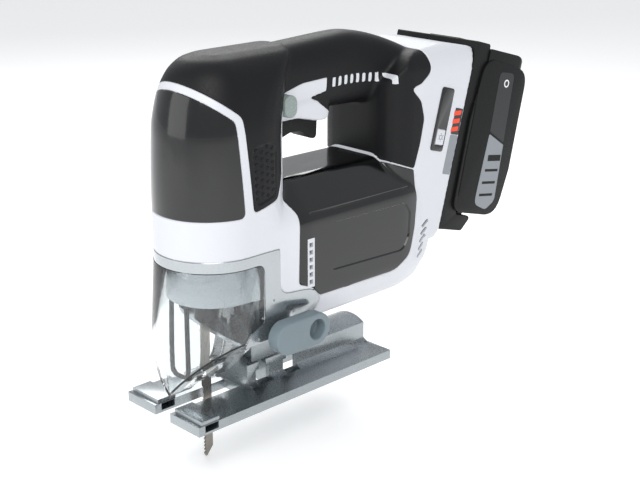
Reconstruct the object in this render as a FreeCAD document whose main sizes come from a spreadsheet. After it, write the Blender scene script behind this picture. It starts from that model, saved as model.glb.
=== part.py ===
"""Cordless D-handle jigsaw.

Frame: origin at the centre of the sole's underside, +X to the rear (the cut advances along -X),
+Y to the tool's right, +Z up.  Millimetres.
"""
import FreeCAD, Part
import Sketcher
import math
import os

V = FreeCAD.Vector
X_AXIS = V(1, 0, 0)
Y_AXIS = V(0, 1, 0)
Z_AXIS = V(0, 0, 1)

# Driving dimensions, in millimetres and degrees.
SIZES = {
    # sole
    "sole_length": 170, "sole_width": 72, "sole_thick": 6.4,
    "slot_half": 7.5, "slot_end": -28, "fence_front": -80, "fence_wide": 10.5,
    "fence_low": 1.6, "fence_tall": 4.4, "pad_top": 8.8,
    "saddle_radius": 25, "saddle_half": 13, "saddle_front": -26, "saddle_back": 82, "saddle_wall": 4,
    "web_wide": 8,
    "seat_gap": 0.3,
    # shells
    "head_radius": 36, "head_centre": -42, "wall": 3.4, "skin": 1.6, "skirt_wall": 2.4,
    "skirt_top": 105, "skirt_low": 48, "skirt_back": -17.5, "joint_gap": 0.4,
    "barrel_half": 40, "handle_half": 17.5, "rear_half": 38,
    # reciprocating line
    "stem_x": -48, "stem_radius": 4.5, "stem_top": 197, "stroke": 26,
    "fit_gap": 0.05, "bush_radius": 8, "bush_long": 18,
    "case_low": 74, "case_top": 170, "case_radius": 31.5, "case_wall": 3.5, "case_back": -20,
    # gears and motor
    "tooth_module": 0.9, "gear_teeth": 56, "pinion_teeth": 8, "gear_face": 10, "gear_front": -33,
    "pin_radius": 4, "pin_short": 0.3, "motor_z": 104, "shaft_radius": 4, "can_radius": 25, "can_front": 14,
    "can_long": 64, "can_wall": 2, "air_gap": 0.8, "fan_radius": 24,
    "bearing_outer": 11, "bearing_wide": 7,
    # blade
    "blade_wide": 7, "blade_thick": 1.2, "blade_tip": -38,
    # controls
    "knob_x": -10, "knob_z": 50, "knob_long": 45, "knob_wide": 21, "knob_out": 50,
    "knob_deep": 9.6,
    "ear_radius": 24.5, "trigger_front": 8, "trigger_back": 41, "trigger_half": 9,
    "lock_x": 1.5, "lock_z": 189, "lock_reach": 27,
    # battery, in its own tilted frame
    "pack_tilt": 15.5, "pack_x": 146.5, "pack_z": 140, "pack_half": 38, "pack_deep": 61,
    "pack_low": -45, "pack_top": 71, "pack_wall": 2.2, "cell_radius": 9.1, "cell_long": 65,
    "rail_half": 20, "rail_deep": 6, "foot_low": -58,
}

os.makedirs("parts", exist_ok=True)
doc = FreeCAD.newDocument("jigsaw")
sheet = doc.addObject("Spreadsheet::Sheet", "Sizes")
for line, (alias, number) in enumerate(SIZES.items(), start=1):
    sheet.set(f"A{line}", alias)
    sheet.set(f"B{line}", str(number))
    sheet.setAlias(f"B{line}", alias)
doc.recompute()


def size(alias):
    """The sheet's value for one driving dimension."""
    return float(sheet.get(alias))


NODES = []


def node(thing, label):
    """Name one sub-part; its label is its file name."""
    thing.Label = label
    NODES.append(thing)
    return thing


# --- sheet-bound primitives -----------------------------------------------------------------

TURN = {
    "X": FreeCAD.Rotation(Z_AXIS, X_AXIS),
    "Y": FreeCAD.Rotation(Z_AXIS, Y_AXIS),
    "Z": FreeCAD.Rotation(),
}


def bind(thing, **rules):
    """Tie properties to the sheet; a rule uses aliases as plain words after 'Sizes.'."""
    for prop, rule in rules.items():
        thing.setExpression(prop.replace("__", "."), str(rule))
    return thing


def seat(thing, at, turn="Z"):
    """Place an object with three bound coordinates and a direction for its own Z."""
    thing.Placement = FreeCAD.Placement(V(), TURN[turn])
    for prop, rule in zip(("x", "y", "z"), at):
        thing.setExpression("Placement.Base." + prop, str(rule))
    return thing


def rod(name, radius, length, at, turn="Z"):
    """A round bar whose start, radius and length are bound."""
    bar = doc.addObject("Part::Cylinder", name)
    bind(bar, Radius=radius, Height=length)
    return seat(bar, at, turn)


def block(name, deep, wide, tall, at):
    """A rectangular block whose low corner and sides are bound."""
    brick = doc.addObject("Part::Box", name)
    bind(brick, Length=deep, Width=wide, Height=tall)
    return seat(brick, at)


def cut(name, base, *tools):
    """Base minus tools, as a boolean feature."""
    for count, tool in enumerate(tools):
        step = doc.addObject("Part::Cut", f"{name}_cut{count}")
        step.Base, step.Tool = base, tool
        base = step
    return base


def fuse(name, *pieces):
    """All pieces joined, as a boolean feature."""
    joined = doc.addObject("Part::MultiFuse", name + "_fuse")
    joined.Shapes = list(pieces)
    joined.Refine = True
    return joined


def group(name, *pieces):
    """Separate solids that share one node."""
    both = doc.addObject("Part::Compound", name + "_group")
    both.Links = list(pieces)
    return both


def ring(name, outer, inner, length, at, turn="Z"):
    """A tube."""
    return cut(name, rod(name + "_outer", outer, length, at, turn),
               rod(name + "_bore", inner, length, at, turn))


def feature(label, shape):
    """A sub-part whose shape is worked out in code from the sheet's sizes."""
    thing = doc.addObject("Part::Feature", label)
    thing.Shape = shape
    return node(thing, label)


# --- sketches -------------------------------------------------------------------------------

def plane(body, role):
    """One of a body's own origin planes."""
    return [item for item in body.Origin.OriginFeatures if item.Role == role][0]


def sketch(body, role, name):
    drawing = body.newObject("Sketcher::SketchObject", name)
    drawing.AttachmentSupport = [(plane(body, role), "")]
    drawing.MapMode = "FlatFace"
    return drawing


def draw_loop(drawing, corners):
    """A closed run of straight lines whose corners are bound, each as a pair of rules."""
    spots = [(worth(a), worth(b)) for a, b in corners]
    first = drawing.GeometryCount
    for index, start in enumerate(spots):
        end = spots[(index + 1) % len(spots)]
        drawing.addGeometry(Part.LineSegment(V(*start, 0), V(*end, 0)))
    for index in range(len(spots)):
        after = first + (index + 1) % len(spots)
        drawing.addConstraint(Sketcher.Constraint("Coincident", first + index, 2, after, 1))
    for index, corner in enumerate(corners):
        for kind, rule, value in zip(("DistanceX", "DistanceY"), corner, spots[index]):
            tie(drawing, Sketcher.Constraint(kind, -1, 1, first + index, 1, value), rule)


def draw_round(drawing, radius, at=("0", "0")):
    """A circle with a bound radius and centre."""
    spot = [worth(rule) for rule in at]
    round_edge = drawing.addGeometry(Part.Circle(V(*spot, 0), Z_AXIS, worth(radius)))
    tie(drawing, Sketcher.Constraint("Radius", round_edge, worth(radius)), radius)
    for kind, rule, value in zip(("DistanceX", "DistanceY"), at, spot):
        tie(drawing, Sketcher.Constraint(kind, -1, 1, round_edge, 3, value), rule)


def tie(drawing, rule_kind, rule):
    """Add a constraint and bind its value."""
    number = drawing.addConstraint(rule_kind)
    drawing.setExpression(f"Constraints[{number}]", rule)


def worth(rule):
    """What a rule comes to now."""
    return float(sheet.evalExpression(str(rule).replace("Sizes.", "")))


# --- outlines worked out in code ------------------------------------------------------------

def along(a, b):
    """Unit direction from one 2-D spot to another."""
    reach = math.hypot(b[0] - a[0], b[1] - a[1])
    return ((b[0] - a[0]) / reach, (b[1] - a[1]) / reach)


def rounded(corners, inset=0.0, to_space=lambda a, b: V(a, b, 0)):
    """Wire through anticlockwise corners (a, b, radius), every side moved inwards by inset."""
    count = len(corners)
    ways = [along(corners[i], corners[(i + 1) % count]) for i in range(count)]
    spots = []
    for i in range(count):
        (ax, ay), (bx, by) = ways[i - 1], ways[i]
        turn = math.atan2(ax * by - ay * bx, ax * bx + ay * by)
        reach = inset * math.tan(turn / 2)
        spot = (corners[i][0] - ay * inset + ax * -reach, corners[i][1] + ax * inset + ay * -reach)
        radius = max(corners[i][2] - math.copysign(inset, turn), 0.2)
        spots.append((spot, radius, turn))
    edges = []
    ends = []
    for i, (spot, radius, turn) in enumerate(spots):
        (ax, ay), (bx, by) = ways[i - 1], ways[i]
        trim = radius * math.tan(abs(turn) / 2)
        start = (spot[0] - ax * trim, spot[1] - ay * trim)
        end = (spot[0] + bx * trim, spot[1] + by * trim)
        toward = along(spot, (spot[0] + bx - ax, spot[1] + by - ay))
        lift = radius / math.cos(turn / 2) - radius
        middle = (spot[0] + toward[0] * lift, spot[1] + toward[1] * lift)
        ends.append((start, end))
        edges.append(Part.Arc(to_space(*start), to_space(*middle), to_space(*end)).toShape())
    lines = []
    for i in range(count):
        here, there = to_space(*ends[i][1]), to_space(*ends[(i + 1) % count][0])
        lines.append(edges[i])
        lines.append(Part.LineSegment(here, there).toShape())
    return Part.Wire(lines)


def side_prism(corners, half, inset=0.0):
    """A side-view outline (x, z, radius) made solid between -half and +half across the tool."""
    face = Part.Face(rounded(corners, inset, lambda a, b: V(a, -half, b)))
    return face.extrude(V(0, 2 * half, 0))


def plan_prism(corners, low, high, inset=0.0):
    """A plan outline (x, y, radius) made solid between two heights."""
    face = Part.Face(rounded(corners, inset, lambda a, b: V(a, b, low)))
    return face.extrude(V(0, 0, high - low))


def oblong(low_a, high_a, low_b, high_b, radius_low, radius_high=None):
    """Corners of a rounded rectangle, its low-a corners and high-a corners each with a radius."""
    far = radius_low if radius_high is None else radius_high
    return [(low_a, low_b, radius_low), (high_a, low_b, far),
            (high_a, high_b, far), (low_a, high_b, radius_low)]


# --- the tool's outer form ------------------------------------------------------------------

def head_form(inset):
    """Upright head: half-round in front, drawn in to a nose at the top."""
    half = size("head_radius")
    front = size("head_centre") - half
    stations = [(46 + inset, front, half, 3, 18), (100, front, half, 3.5, 18),
                (150, front, half, 4, 19), (178, front + 1.5, half - 1, 5, 19),
                (198 - inset / 2, front + 5, half - 4.5, 8, 18), (212 - inset, front + 11, half - 10, 11, 15),
                (221 - inset, front + 20, half - 18, 13, 11), (224.5 - inset, front + 30, half - 26, 12, 7)]
    rings = [rounded(oblong(near + inset, far - inset, -wide + inset, wide - inset,
                            wide - inset - 0.5, max(tight - inset, 1)),
                     0, lambda a, b, z=z: V(a, b, z))
             for z, near, wide, far, tight in stations]
    return Part.makeLoft(rings, True, True)


def handle_form(inset):
    """Closed handle along the top."""
    half = size("handle_half")
    stations = [(-34, 178, 223.4, half + 5), (0, 177.5, 223.4, half + 1), (30, 178.5, 224.6, half),
                (66, 177, 226.2, half), (94, 176, 220.5, half), (124, 172, 209, half)]
    rings = [rounded(oblong(-wide + inset, wide - inset, low + inset, high - inset, wide - inset - 1),
                     0, lambda a, b, x=x: V(x, a, b))
             for x, low, high, wide in stations]
    return Part.makeLoft(rings, True, True)


def barrel_form(inset):
    """Motor barrel below the handle opening."""
    half = size("barrel_half")
    stations = [(-30 + inset, 36, 141, 48), (-12, 37, 142, 47), (6, half, 142.5, 46),
                (92, half, 142, 46), (116, half - 3, 139, 48), (137 - inset, half - 14, 128, 62)]
    rings = []
    for x, wide, top, low in stations:
        ring_corners = [(-wide + 12, low, 12), (wide - 12, low, 12), (wide, low + 20, 16),
                        (wide, top - 22, 14), (wide - 19, top, 8), (-wide + 19, top, 8),
                        (-wide, top - 22, 14), (-wide, low + 20, 16)]
        rings.append(rounded(ring_corners, inset, lambda a, b, x=x: V(x, a, b)))
    return Part.makeLoft(rings, True, True)


def dock_line(up, back=0.0):
    """A spot on the battery's tilted frame, in the side view."""
    tilt = math.radians(size("pack_tilt"))
    return (size("pack_x") + up * math.sin(tilt) + back * math.cos(tilt),
            size("pack_z") + up * math.cos(tilt) - back * math.sin(tilt))


def rear_form(inset):
    """Rear column and battery dock."""
    half = size("rear_half")
    low, high = dock_line(-58), dock_line(70)
    side = [(84, 96, 4), (low[0] - 6, low[1] - 6, 6), (*low, 2), (*high, 2), (140, 212, 30),
            (104, 210, 20), (84, 190, 8)]
    form = side_prism(side, half - inset, inset)
    plan = plan_prism(oblong(84, 200, -half, half, 24, 2), 60, 230, inset)
    section = Part.Face(rounded([(-half, 50, 2), (half, 50, 2), (half, 213, 20), (-half, 213, 20)],
                                inset, lambda a, b: V(60, a, b))).extrude(V(140, 0, 0))
    return form.common(plan).common(section)


def guard_form(inset):
    """The lobe round the trigger, under the front of the handle."""
    side = [(2, 176.5, 4), (20, 176.5, 20), (36, 172.5, 3), (46, 172, 4), (48, 180, 4), (40, 196, 4),
            (0, 196, 4)]
    return side_prism(side, 14 - inset, inset)


def outer_form(inset):
    """The whole outer form, every surface moved inwards by inset."""
    whole = head_form(inset)
    whole = whole.fuse([handle_form(inset), barrel_form(inset), rear_form(inset), guard_form(inset)])
    return whole.cut(in_pack_frame(slab(-inset, 90, -60, 60, size("foot_low") - 1 - inset, 100)))


# --- zones that share out the outer form, in the side view ----------------------------------

COVER_ZONE = [(-95, 130, 0.5), (-44, 130, 4), (-48.2, 188.6, 6), (-95, 225.4, 0.5)]

GRIP_ZONE = [(-37.5, 131.5, 3), (-17.5, 136, 4), (-15.5, 150, 20), (-15, 172, 10), (-9, 186, 8),
             (3, 195.5, 10), (20, 199.5, 30), (41.5, 200.3, 0.5), (41.5, 191.5, 0.5), (27, 189, 1.5),
             (36, 185.5, 6), (47.5, 177, 3), (48, 160, 0.5), (82, 152, 1), (84.6, 140.2, 0.5),
             (103.6, 132.9, 2), (109, 150, 12), (112.5, 166, 12), (109, 178, 8), (100, 187.5, 8),
             (109, 190, 3), (119.5, 197, 8), (117, 210, 9), (100, 223, 4), (98, 240, 0.5),
             (-95, 240, 0.5), (-95, 229.7, 0.5), (-44, 189.5, 8)]

PANEL_ZONE = [(-3.5, 78, 3), (6, 74.5, 8), (14, 66.8, 3), (84, 65.8, 20), (99, 74, 12),
              (104, 92, 20), (106, 112, 20), (103.4, 132.2, 1), (84, 139.2, 1), (80, 148, 1),
              (0, 148, 1), (-8, 134, 5), (-2.5, 124, 8)]

SIDE_REACH = 60


def skirt_zone(inset=0.0):
    """Lower head and the round ear that carries the orbital knob."""
    back, low, top = size("skirt_back"), size("skirt_low"), size("skirt_top")
    ear = size("knob_x") + size("ear_radius")
    corners = [(-95, low, 0.5), (ear, low, 0.5), (ear, size("knob_z") + size("ear_radius"), 23.5),
               (back, size("knob_z") + size("ear_radius"), 8), (back, top, 1), (-95, top, 0.5)]
    return side_prism(corners, SIDE_REACH, inset)


def window_zone(inset=0.0):
    """Where the clear cover replaces the skirt; an inset leaves the gap round its edge."""
    corners = [(-95, 4, 0.5), (-46, 4, 0.5), (-46, 48, 3), (-41, 55, 3), (-30, 60, 3),
               (-30, size("skirt_top") - 7, 6), (-95, size("skirt_top") - 7, 0.5)]
    return side_prism(corners, SIDE_REACH, inset)


def bevel_wedge(inset=0.0):
    """All that the sole sweeps as it tilts 45 degrees each way about the line of the cut."""
    rise = (size("pad_top") + inset) * math.sqrt(2) + 0.6
    far = 90
    corners = [(0, rise, 0.5), (-far, rise + far, 0.5), (-far, -far, 0.5), (far, -far, 0.5),
               (far, rise + far, 0.5)]
    face = Part.Face(rounded(corners, 0, lambda a, b: V(-100, a, b)))
    return face.extrude(V(200, 0, 0))


def pillar(x, z, radius, low, high):
    """A round bar across the tool."""
    return Part.makeCylinder(radius, high - low, V(x, low, z), Y_AXIS)


def beam(x, y, radius, low, high):
    """An upright round bar."""
    return Part.makeCylinder(radius, high - low, V(x, y, low), Z_AXIS)


def axle(y, z, radius, front, back):
    """A round bar along the tool."""
    return Part.makeCylinder(radius, back - front, V(front, y, z), X_AXIS)


def slab(x0, x1, y0, y1, z0, z1):
    """A block between its two corners."""
    return Part.makeBox(x1 - x0, y1 - y0, z1 - z0, V(x0, y0, z0))


def pack_place():
    """The battery's tilted frame: its own Z runs up the dock, its own X points to the rear."""
    return FreeCAD.Placement(V(size("pack_x"), 0, size("pack_z")),
                             FreeCAD.Rotation(Y_AXIS, size("pack_tilt")))


def in_pack_frame(shape):
    """A shape drawn in the battery's frame, put where it belongs on the tool."""
    moved = shape.copy()
    moved.Placement = pack_place()
    return moved


SCREW_SPOTS = [(-26, 182), (58, 204), (104, 200), (122, 150), (100, 56), (34, 56), (97, 134.6)]


def left_of(shape):
    return shape.common(slab(-150, 300, -100, 0, -60, 300))


def right_of(shape):
    return shape.common(slab(-150, 300, 0, 100, -60, 300))


def make_shells():
    """White clamshell halves with the black skins let into their surface, and the skirt."""
    full, under, hollow = outer_form(0), outer_form(size("skin")), outer_form(size("wall"))
    skin = full.cut(under)
    cover_zone = side_prism(COVER_ZONE, SIDE_REACH)
    grip_zone = side_prism(GRIP_ZONE, SIDE_REACH)
    panel_zone = side_prism(PANEL_ZONE, SIDE_REACH)
    cover = skin.common(cover_zone)
    grip = skin.common(grip_zone).cut(trigger_room())
    panel = skin.common(panel_zone)

    ribs = motor_ribs(under)
    bosses = screw_bosses(under)
    white = full.cut(hollow).fuse([ribs, bosses])
    white = white.cut(skin.common(cover_zone.fuse([grip_zone, panel_zone])))
    white = white.cut(skirt_zone()).cut(trigger_room()).cut(rail_channel())
    white = white.cut(panel_recess()).cut(screw_holes()).cut(rear_vents())
    white = white.cut(slab(-100, size("skirt_back"), -60, 60, 40, size("skirt_top"))).cut(bracket_room())

    lock = lock_hole()
    white, grip = white.cut(lock), grip.cut(lock)
    grip = grip.cut(handle_slots())
    panel = panel.cut(vent_windows())
    white = white.cut(vent_windows())

    feature("front_cover", cover)
    feature("grip_left", left_of(grip))
    feature("grip_right", right_of(grip))
    feature("motor_panel_left", left_of(panel))
    feature("motor_panel_right", right_of(panel))
    feature("housing_left", left_of(white))
    feature("housing_right", right_of(white))


def motor_ribs(limit):
    """Two ribs in each half that hold the motor can."""
    can = size("can_radius") + size("fit_gap")
    ribs = None
    for x in (size("can_front") + 6, size("can_front") + size("can_long") - 9):
        rib = slab(x, x + 3, -39, 39, 66, 138).common(limit)
        rib = rib.cut(axle(0, size("motor_z"), can, x - 1, x + 4))
        ribs = rib if ribs is None else ribs.fuse(rib)
    return ribs


def screw_bosses(limit):
    """Round bosses that meet at the parting line."""
    bosses = [pillar(x, z, 4, -45, 45).common(limit) for x, z in SCREW_SPOTS]
    return bosses[0].fuse(bosses[1:])


def screw_holes():
    """Pilot holes in the left half, clearance and head seats in the right."""
    holes = []
    for x, z in SCREW_SPOTS:
        holes.append(pillar(x, z, 1.5, -10, 1))
        holes.append(pillar(x, z, 2.1, -0.5, 12))
        holes.append(pillar(x, z, 3.8, 10, 60))
    return holes[0].fuse(holes[1:])


def trigger_room():
    """Slot in the underside of the handle that the trigger works in."""
    gap = size("joint_gap")
    half = size("trigger_half") + gap
    return slab(size("trigger_front") - gap, size("trigger_back") + gap, -half, half, 150, 189)


def lock_hole():
    """Oval bore right across the tool for the lock-off button."""
    return in_lock_place(5.2 + size("joint_gap"), 7 + size("joint_gap"), 45)


def in_lock_place(half_deep, half_tall, reach):
    """An oval bar across the tool at the lock-off button."""
    x, z = size("lock_x"), size("lock_z")
    corners = oblong(x - half_deep, x + half_deep, z - half_tall, z + half_tall, half_deep - 0.1)
    return side_prism(corners, reach)


def handle_slots():
    """Row of twelve slots through each side of the grip, where the white shell shows."""
    slots = []
    for count in range(12):
        x = 46.2 + 5.3 * count
        z = 191.6 + 3.4 * math.sin(math.pi * (count + 1.5) / 15) - 0.55 * count + 1.0
        slots.append(slab(x, x + 2.6, -30, 30, z, z + 6))
    return slots[0].fuse(slots[1:])


VENT_FRONT, VENT_BACK, VENT_LOW, VENT_HIGH = 2.5, 8.5, 74.5, 107


def vent_windows():
    """Openings beside the fan for the slotted inserts."""
    return slab(VENT_FRONT, VENT_BACK, -60, 60, VENT_LOW, VENT_HIGH)


def rear_vents():
    """Five slanting holes on each side behind the motor."""
    holes = []
    for count in range(5):
        hole = Part.makeBox(6, 120, 2, V(-3, -60, -1))
        hole.Placement = FreeCAD.Placement(V(115.5 - 1.2 * count, 0, 92 - 5.2 * count),
                                           FreeCAD.Rotation(Y_AXIS, -35)).multiply(hole.Placement)
        holes.append(hole)
    return holes[0].fuse(holes[1:])


def bracket_room():
    """Opening in the belly for the seat bracket and the orbital cam shaft."""
    gap = size("joint_gap")
    half = BRACKET_HALF + gap
    room = slab(BRACKET_FRONT - gap, BRACKET_BACK + gap, -half, half, 40, size("case_low") + gap)
    arm = slab(BRACKET_FRONT - 15, BRACKET_FRONT, -7, 7, 40, size("case_low"))
    return room.fuse([arm, pillar(size("knob_x"), size("knob_z"), 4 + gap, -60, half)])


def rail_channel():
    """Channel down the dock face that the battery's rails slide in, open at the top."""
    gap = size("joint_gap")
    half = size("rail_half") + gap
    deep = size("rail_deep") + gap
    return in_pack_frame(slab(-deep, 8, -half, half, -42 - gap, 90))


def panel_recess():
    """Shallow seat for the control panel and, under it, room for the lamp button."""
    plate = in_pack_frame(slab(-26, -14.2, -45, -36.4, -4, 39))
    stem = in_pack_frame(slab(-24.7, -15.9, -40, -34, -0.2, 10.7))
    return plate.fuse(stem)


def make_vents():
    """White slotted inserts, one each side, as one moulding size."""
    gap = 0.1
    pieces = []
    for low, high in ((-40, -37), (37, 40)):
        plate = slab(VENT_FRONT + gap, VENT_BACK - gap, low, high, VENT_LOW + gap, VENT_HIGH - gap)
        for count in range(6):
            z = VENT_LOW + 2.2 + 4.9 * count
            plate = plate.cut(slab(VENT_FRONT + 1.4, VENT_BACK - 1.4, -60, 60, z, z + 3))
        pieces.append(plate)
    feature("vent_grilles", Part.makeCompound(pieces))


def make_skirt():
    """Bright skirt round the lower head with the ear for the orbital knob."""
    full = head_form(0).fuse(barrel_form(0))
    inner = head_form(size("skirt_wall")).fuse(barrel_form(size("skirt_wall")))
    below = inner.translated(V(0, 0, -3))
    skirt = full.cut(inner).cut(below).common(skirt_zone()).cut(window_zone())
    x, z = size("knob_x"), size("knob_z")
    recess = pillar(x, z, 20, -60, -35.4)
    skirt = skirt.cut(recess).cut(bracket_room())
    skirt = skirt.cut(slab(8, 40, -60, 60, 30, 49.5))
    feature("gear_skirt", skirt)


def cover_form(inset):
    """Half-round form of the dust cover, its lower flanks cut back so that the sole can tilt."""
    front = size("head_centre") - size("head_radius")
    stations = [(8, front - 1), (50, front - 4), (98.5, front)]
    half = size("head_radius") - inset
    rings = [rounded(oblong(x + inset, 20, -half, half, half - 0.5, 1), 0, lambda a, b, z=z: V(a, b, z))
             for z, x in stations]
    return Part.makeLoft(rings, True, True).cut(bevel_wedge(inset))


def make_chip_cover():
    """Clear dust cover in one piece: open behind, with a slot for the blade and its guide roller."""
    gap = size("joint_gap")
    shell = cover_form(0).cut(cover_form(COVER_WALL))
    upper = shell.common(window_zone(gap)).common(slab(-95, 0, -SIDE_REACH, SIDE_REACH, 40, 120))
    lower = shell.common(slab(-95, -37, -SIDE_REACH, SIDE_REACH, 4, size("skirt_low") - gap))
    cover = upper.fuse(lower).removeSplitter()
    feature("chip_cover", cover.cut(slab(-62, 0, -7, 7, 0, 30)))


COVER_WALL = 1.8


# --- gear case and what runs in it ----------------------------------------------------------

def case_plan(radius, back):
    """Plan of the gear case: half-round in front, square behind."""
    front = size("head_centre") - radius
    return oblong(front, back, -radius, radius, radius - 0.5, 2)


def make_gear_case():
    """Cast case with bush bosses, lugs for the roller arm and a seat for the sole."""
    low, top, wall = size("case_low"), size("case_top"), size("case_wall")
    back, radius, x = size("case_back"), size("case_radius"), size("stem_x")
    case = plan_prism(case_plan(radius, back), low, top)
    case = case.cut(plan_prism(case_plan(radius - wall, back + 5), low + wall, top - wall))
    long = size("bush_long")
    boss = beam(x, 0, size("bush_radius") + 3, low, low + long)
    boss = boss.fuse(beam(x, 0, size("bush_radius") + 3, top - 14, top))
    case = case.fuse(boss)
    for side in (-1, 1):
        lug = slab(-32, -22, min(side * 6, side * 9), max(side * 6, side * 9), 54, low + 1)
        case = case.fuse(lug)
    case = case.cut(pillar(ARM_PIVOT[0], ARM_PIVOT[1], 2.5, -9.5, 9.5))
    case = case.cut(beam(x, 0, size("bush_radius"), low - 1, low + long + 1))
    case = case.cut(beam(x, 0, size("bush_radius"), top - 15, top + 1))
    feature("gear_case", case)


def make_case_cover():
    """Flat rear plate with the gear pin's hole and the motor's front bearing seat."""
    low, top = size("case_low"), size("case_top")
    back, radius = size("case_back"), size("case_radius") - 2
    plate = plan_prism(oblong(back, back + 8, -radius, radius, 0.5, 3), low, top)
    plate = plate.cut(axle(0, size("motor_z"), size("shaft_radius") + 1.5, back - 5, back + 20))
    plate = plate.cut(axle(0, size("motor_z"), size("bearing_outer"), back + 1, back + 9))
    plate = plate.cut(axle(0, gear_z(), size("pin_radius"), back - 1, back + 6))
    feature("gear_case_cover", plate)


def gear_z():
    """Height of the crank gear's axis: one centre distance above the motor's."""
    return size("motor_z") + size("tooth_module") * (size("gear_teeth") + size("pinion_teeth")) / 2


def make_seat_bracket():
    """Shoe under the gear case that the sole's round saddle tilts in."""
    low = size("case_low")
    block_form = slab(BRACKET_FRONT, BRACKET_BACK, -BRACKET_HALF, BRACKET_HALF, 10, low)
    seat_round = axle(0, 0, size("saddle_radius") + size("seat_gap"), -60, 60)
    shoe = block_form.cut(seat_round).common(slab(-30, 40, -13, 13, 21.6, low))
    shoe = shoe.cut(pillar(size("knob_x"), size("knob_z"), 4 + size("fit_gap"), -20, 20))
    for x in BOLT_SPOTS:
        shoe = shoe.cut(beam(x, 0, 2.5, 20, 44))
    feature("seat_bracket", shoe)


BRACKET_FRONT, BRACKET_BACK, BRACKET_HALF = -21.5, 18, 12
ARM_PIVOT = (-26, 60)
BOLT_SPOTS = (-13, 11)
ROLLER_RADIUS = 6
ROLLER_Z = 21


def roller_x():
    """The roller just touches the blade's back."""
    return size("stem_x") + 2 + ROLLER_RADIUS + 0.2


def make_roller():
    """Arm, grooved guide roller and its pin behind the blade."""
    top = (ARM_PIVOT[0], ARM_PIVOT[1])
    end = (roller_x(), ROLLER_Z)
    reach = math.hypot(top[0] - end[0], top[1] - end[1])
    lean = math.degrees(math.atan2(top[0] - end[0], top[1] - end[1]))
    sides = []
    for low, high in ((-5.4, -3.2), (3.2, 5.4)):
        face = Part.Face(rounded(oblong(-3, 3, -reach - 3.5, 4, 2.8), 0, lambda a, b, y=low: V(a, y, b)))
        sides.append(face.extrude(V(0, high - low, 0)))
    bridge = slab(-2.5, 2.5, -5.4, 5.4, -12, -6)
    arm = sides[0].fuse([sides[1], bridge])
    arm.Placement = FreeCAD.Placement(V(top[0], 0, top[1]), FreeCAD.Rotation(Y_AXIS, lean))
    arm = arm.cut(pillar(*top, 2.5 + size("fit_gap"), -6, 6)).cut(pillar(*end, 1.5, -6, 6))
    feature("roller_arm", arm)
    roller = pillar(*end, ROLLER_RADIUS, -2.6, 2.6)
    groove = Part.makeTorus(ROLLER_RADIUS + 1.2, 1.7, V(end[0], 0, end[1]), Y_AXIS)
    feature("guide_roller", roller.cut(groove).cut(pillar(*end, 1.5 + size("fit_gap"), -4, 4)))
    node(rod("roller_pin_bar", "1.5", "10.8", (str(end[0]), "-5.4", str(end[1])), "Y"), "roller_pin")
    node(rod("arm_pin_bar", "2.5", "18", (str(top[0]), "-9", str(top[1])), "Y"), "arm_pin")


YOKE_BACK = 9


def make_stem():
    """Plunger, its two bushes, the yoke and the tool-less blade holder."""
    x = "Sizes.stem_x"
    node(rod("stem_bar", "Sizes.stem_radius", "Sizes.stem_top - 62", (x, "0", "62")), "plunger")
    low = ring("bush_low", "Sizes.bush_radius", "Sizes.stem_radius + Sizes.fit_gap", "Sizes.bush_long",
               (x, "0", "Sizes.case_low"))
    top = ring("bush_top", "Sizes.bush_radius", "Sizes.stem_radius + Sizes.fit_gap", "14",
               (x, "0", "Sizes.case_top - 14"))
    node(group("bushes", low, top), "plunger_bushes")

    stem, middle = size("stem_x"), gear_z() + size("stroke") / 2
    yoke = slab(stem + 2.5, stem + YOKE_BACK, -21, 21, middle - 8, middle + 8)
    yoke = yoke.cut(slab(stem + 5.5, stem + 12, -17.5, 17.5, middle - 4.2, middle + 4.2))
    feature("yoke", yoke.cut(beam(stem, 0, size("stem_radius"), 100, 190)))

    clamp = beam(stem, 0, 6, 54, 69).cut(beam(stem, 0, size("stem_radius"), 62, 70))
    clamp = clamp.cut(slab(stem - 5, stem + 2, -0.6, 0.6, 50, 62))
    feature("blade_clamp", clamp)
    node(ring("collar", "8", "6 + Sizes.fit_gap", "11", (x, "0", "56")), "clamp_collar")


def make_blade():
    """T-shank saw blade, its teeth pointing up and forwards."""
    front = size("stem_x") - 5
    back = front + size("blade_wide")
    tip, teeth_top, step = size("blade_tip"), 12, 2.5
    outline = [(back, tip + 6), (back, 50), (back, 54), (size("stem_x") + 2, 54), (size("stem_x") + 2, 62),
               (front, 62), (front, teeth_top + 2)]
    count = int((teeth_top - tip - 1) / step)
    edge = []
    for tooth in range(count):
        z = teeth_top - step * tooth
        edge.append((front, z))
        edge.append((front + 1.3, z - step + 0.5))
    outline += edge
    outline += [(front, teeth_top - step * count), (front + 1, tip), (front + 2.2, tip)]
    seen = []
    for spot in outline:
        if not seen or math.dist(seen[-1], spot) > 0.01:
            seen.append(spot)
    half = size("blade_thick") / 2
    spots = [V(a, -half, b) for a, b in seen]
    face = Part.Face(Part.makePolygon(spots + spots[:1]))
    feature("blade", face.extrude(V(0, 2 * half, 0)))


# Width of a tooth at its root, at the pitch line and at its tip, in modules.
TOOTH_WIDTHS = (1.8, 1.12, 0.42)


def toothed(teeth, turn):
    """Gear face in the YZ plane about the origin; turn sets where a tooth stands."""
    module = size("tooth_module")
    pitch = module * teeth / 2
    outer, root = pitch + module, pitch - 1.25 * module
    spots = []
    for tooth in range(teeth):
        middle = 2 * math.pi * tooth / teeth + turn
        flank = [(radius, wide * module / 2 / radius)
                 for radius, wide in zip((root, pitch, outer), TOOTH_WIDTHS)]
        spots += [(radius, middle - half) for radius, half in flank]
        spots += [(radius, middle + half) for radius, half in reversed(flank)]
    ring_spots = [V(0, radius * math.sin(angle), radius * math.cos(angle)) for radius, angle in spots]
    return Part.Face(Part.makePolygon(ring_spots + ring_spots[:1]))


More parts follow.
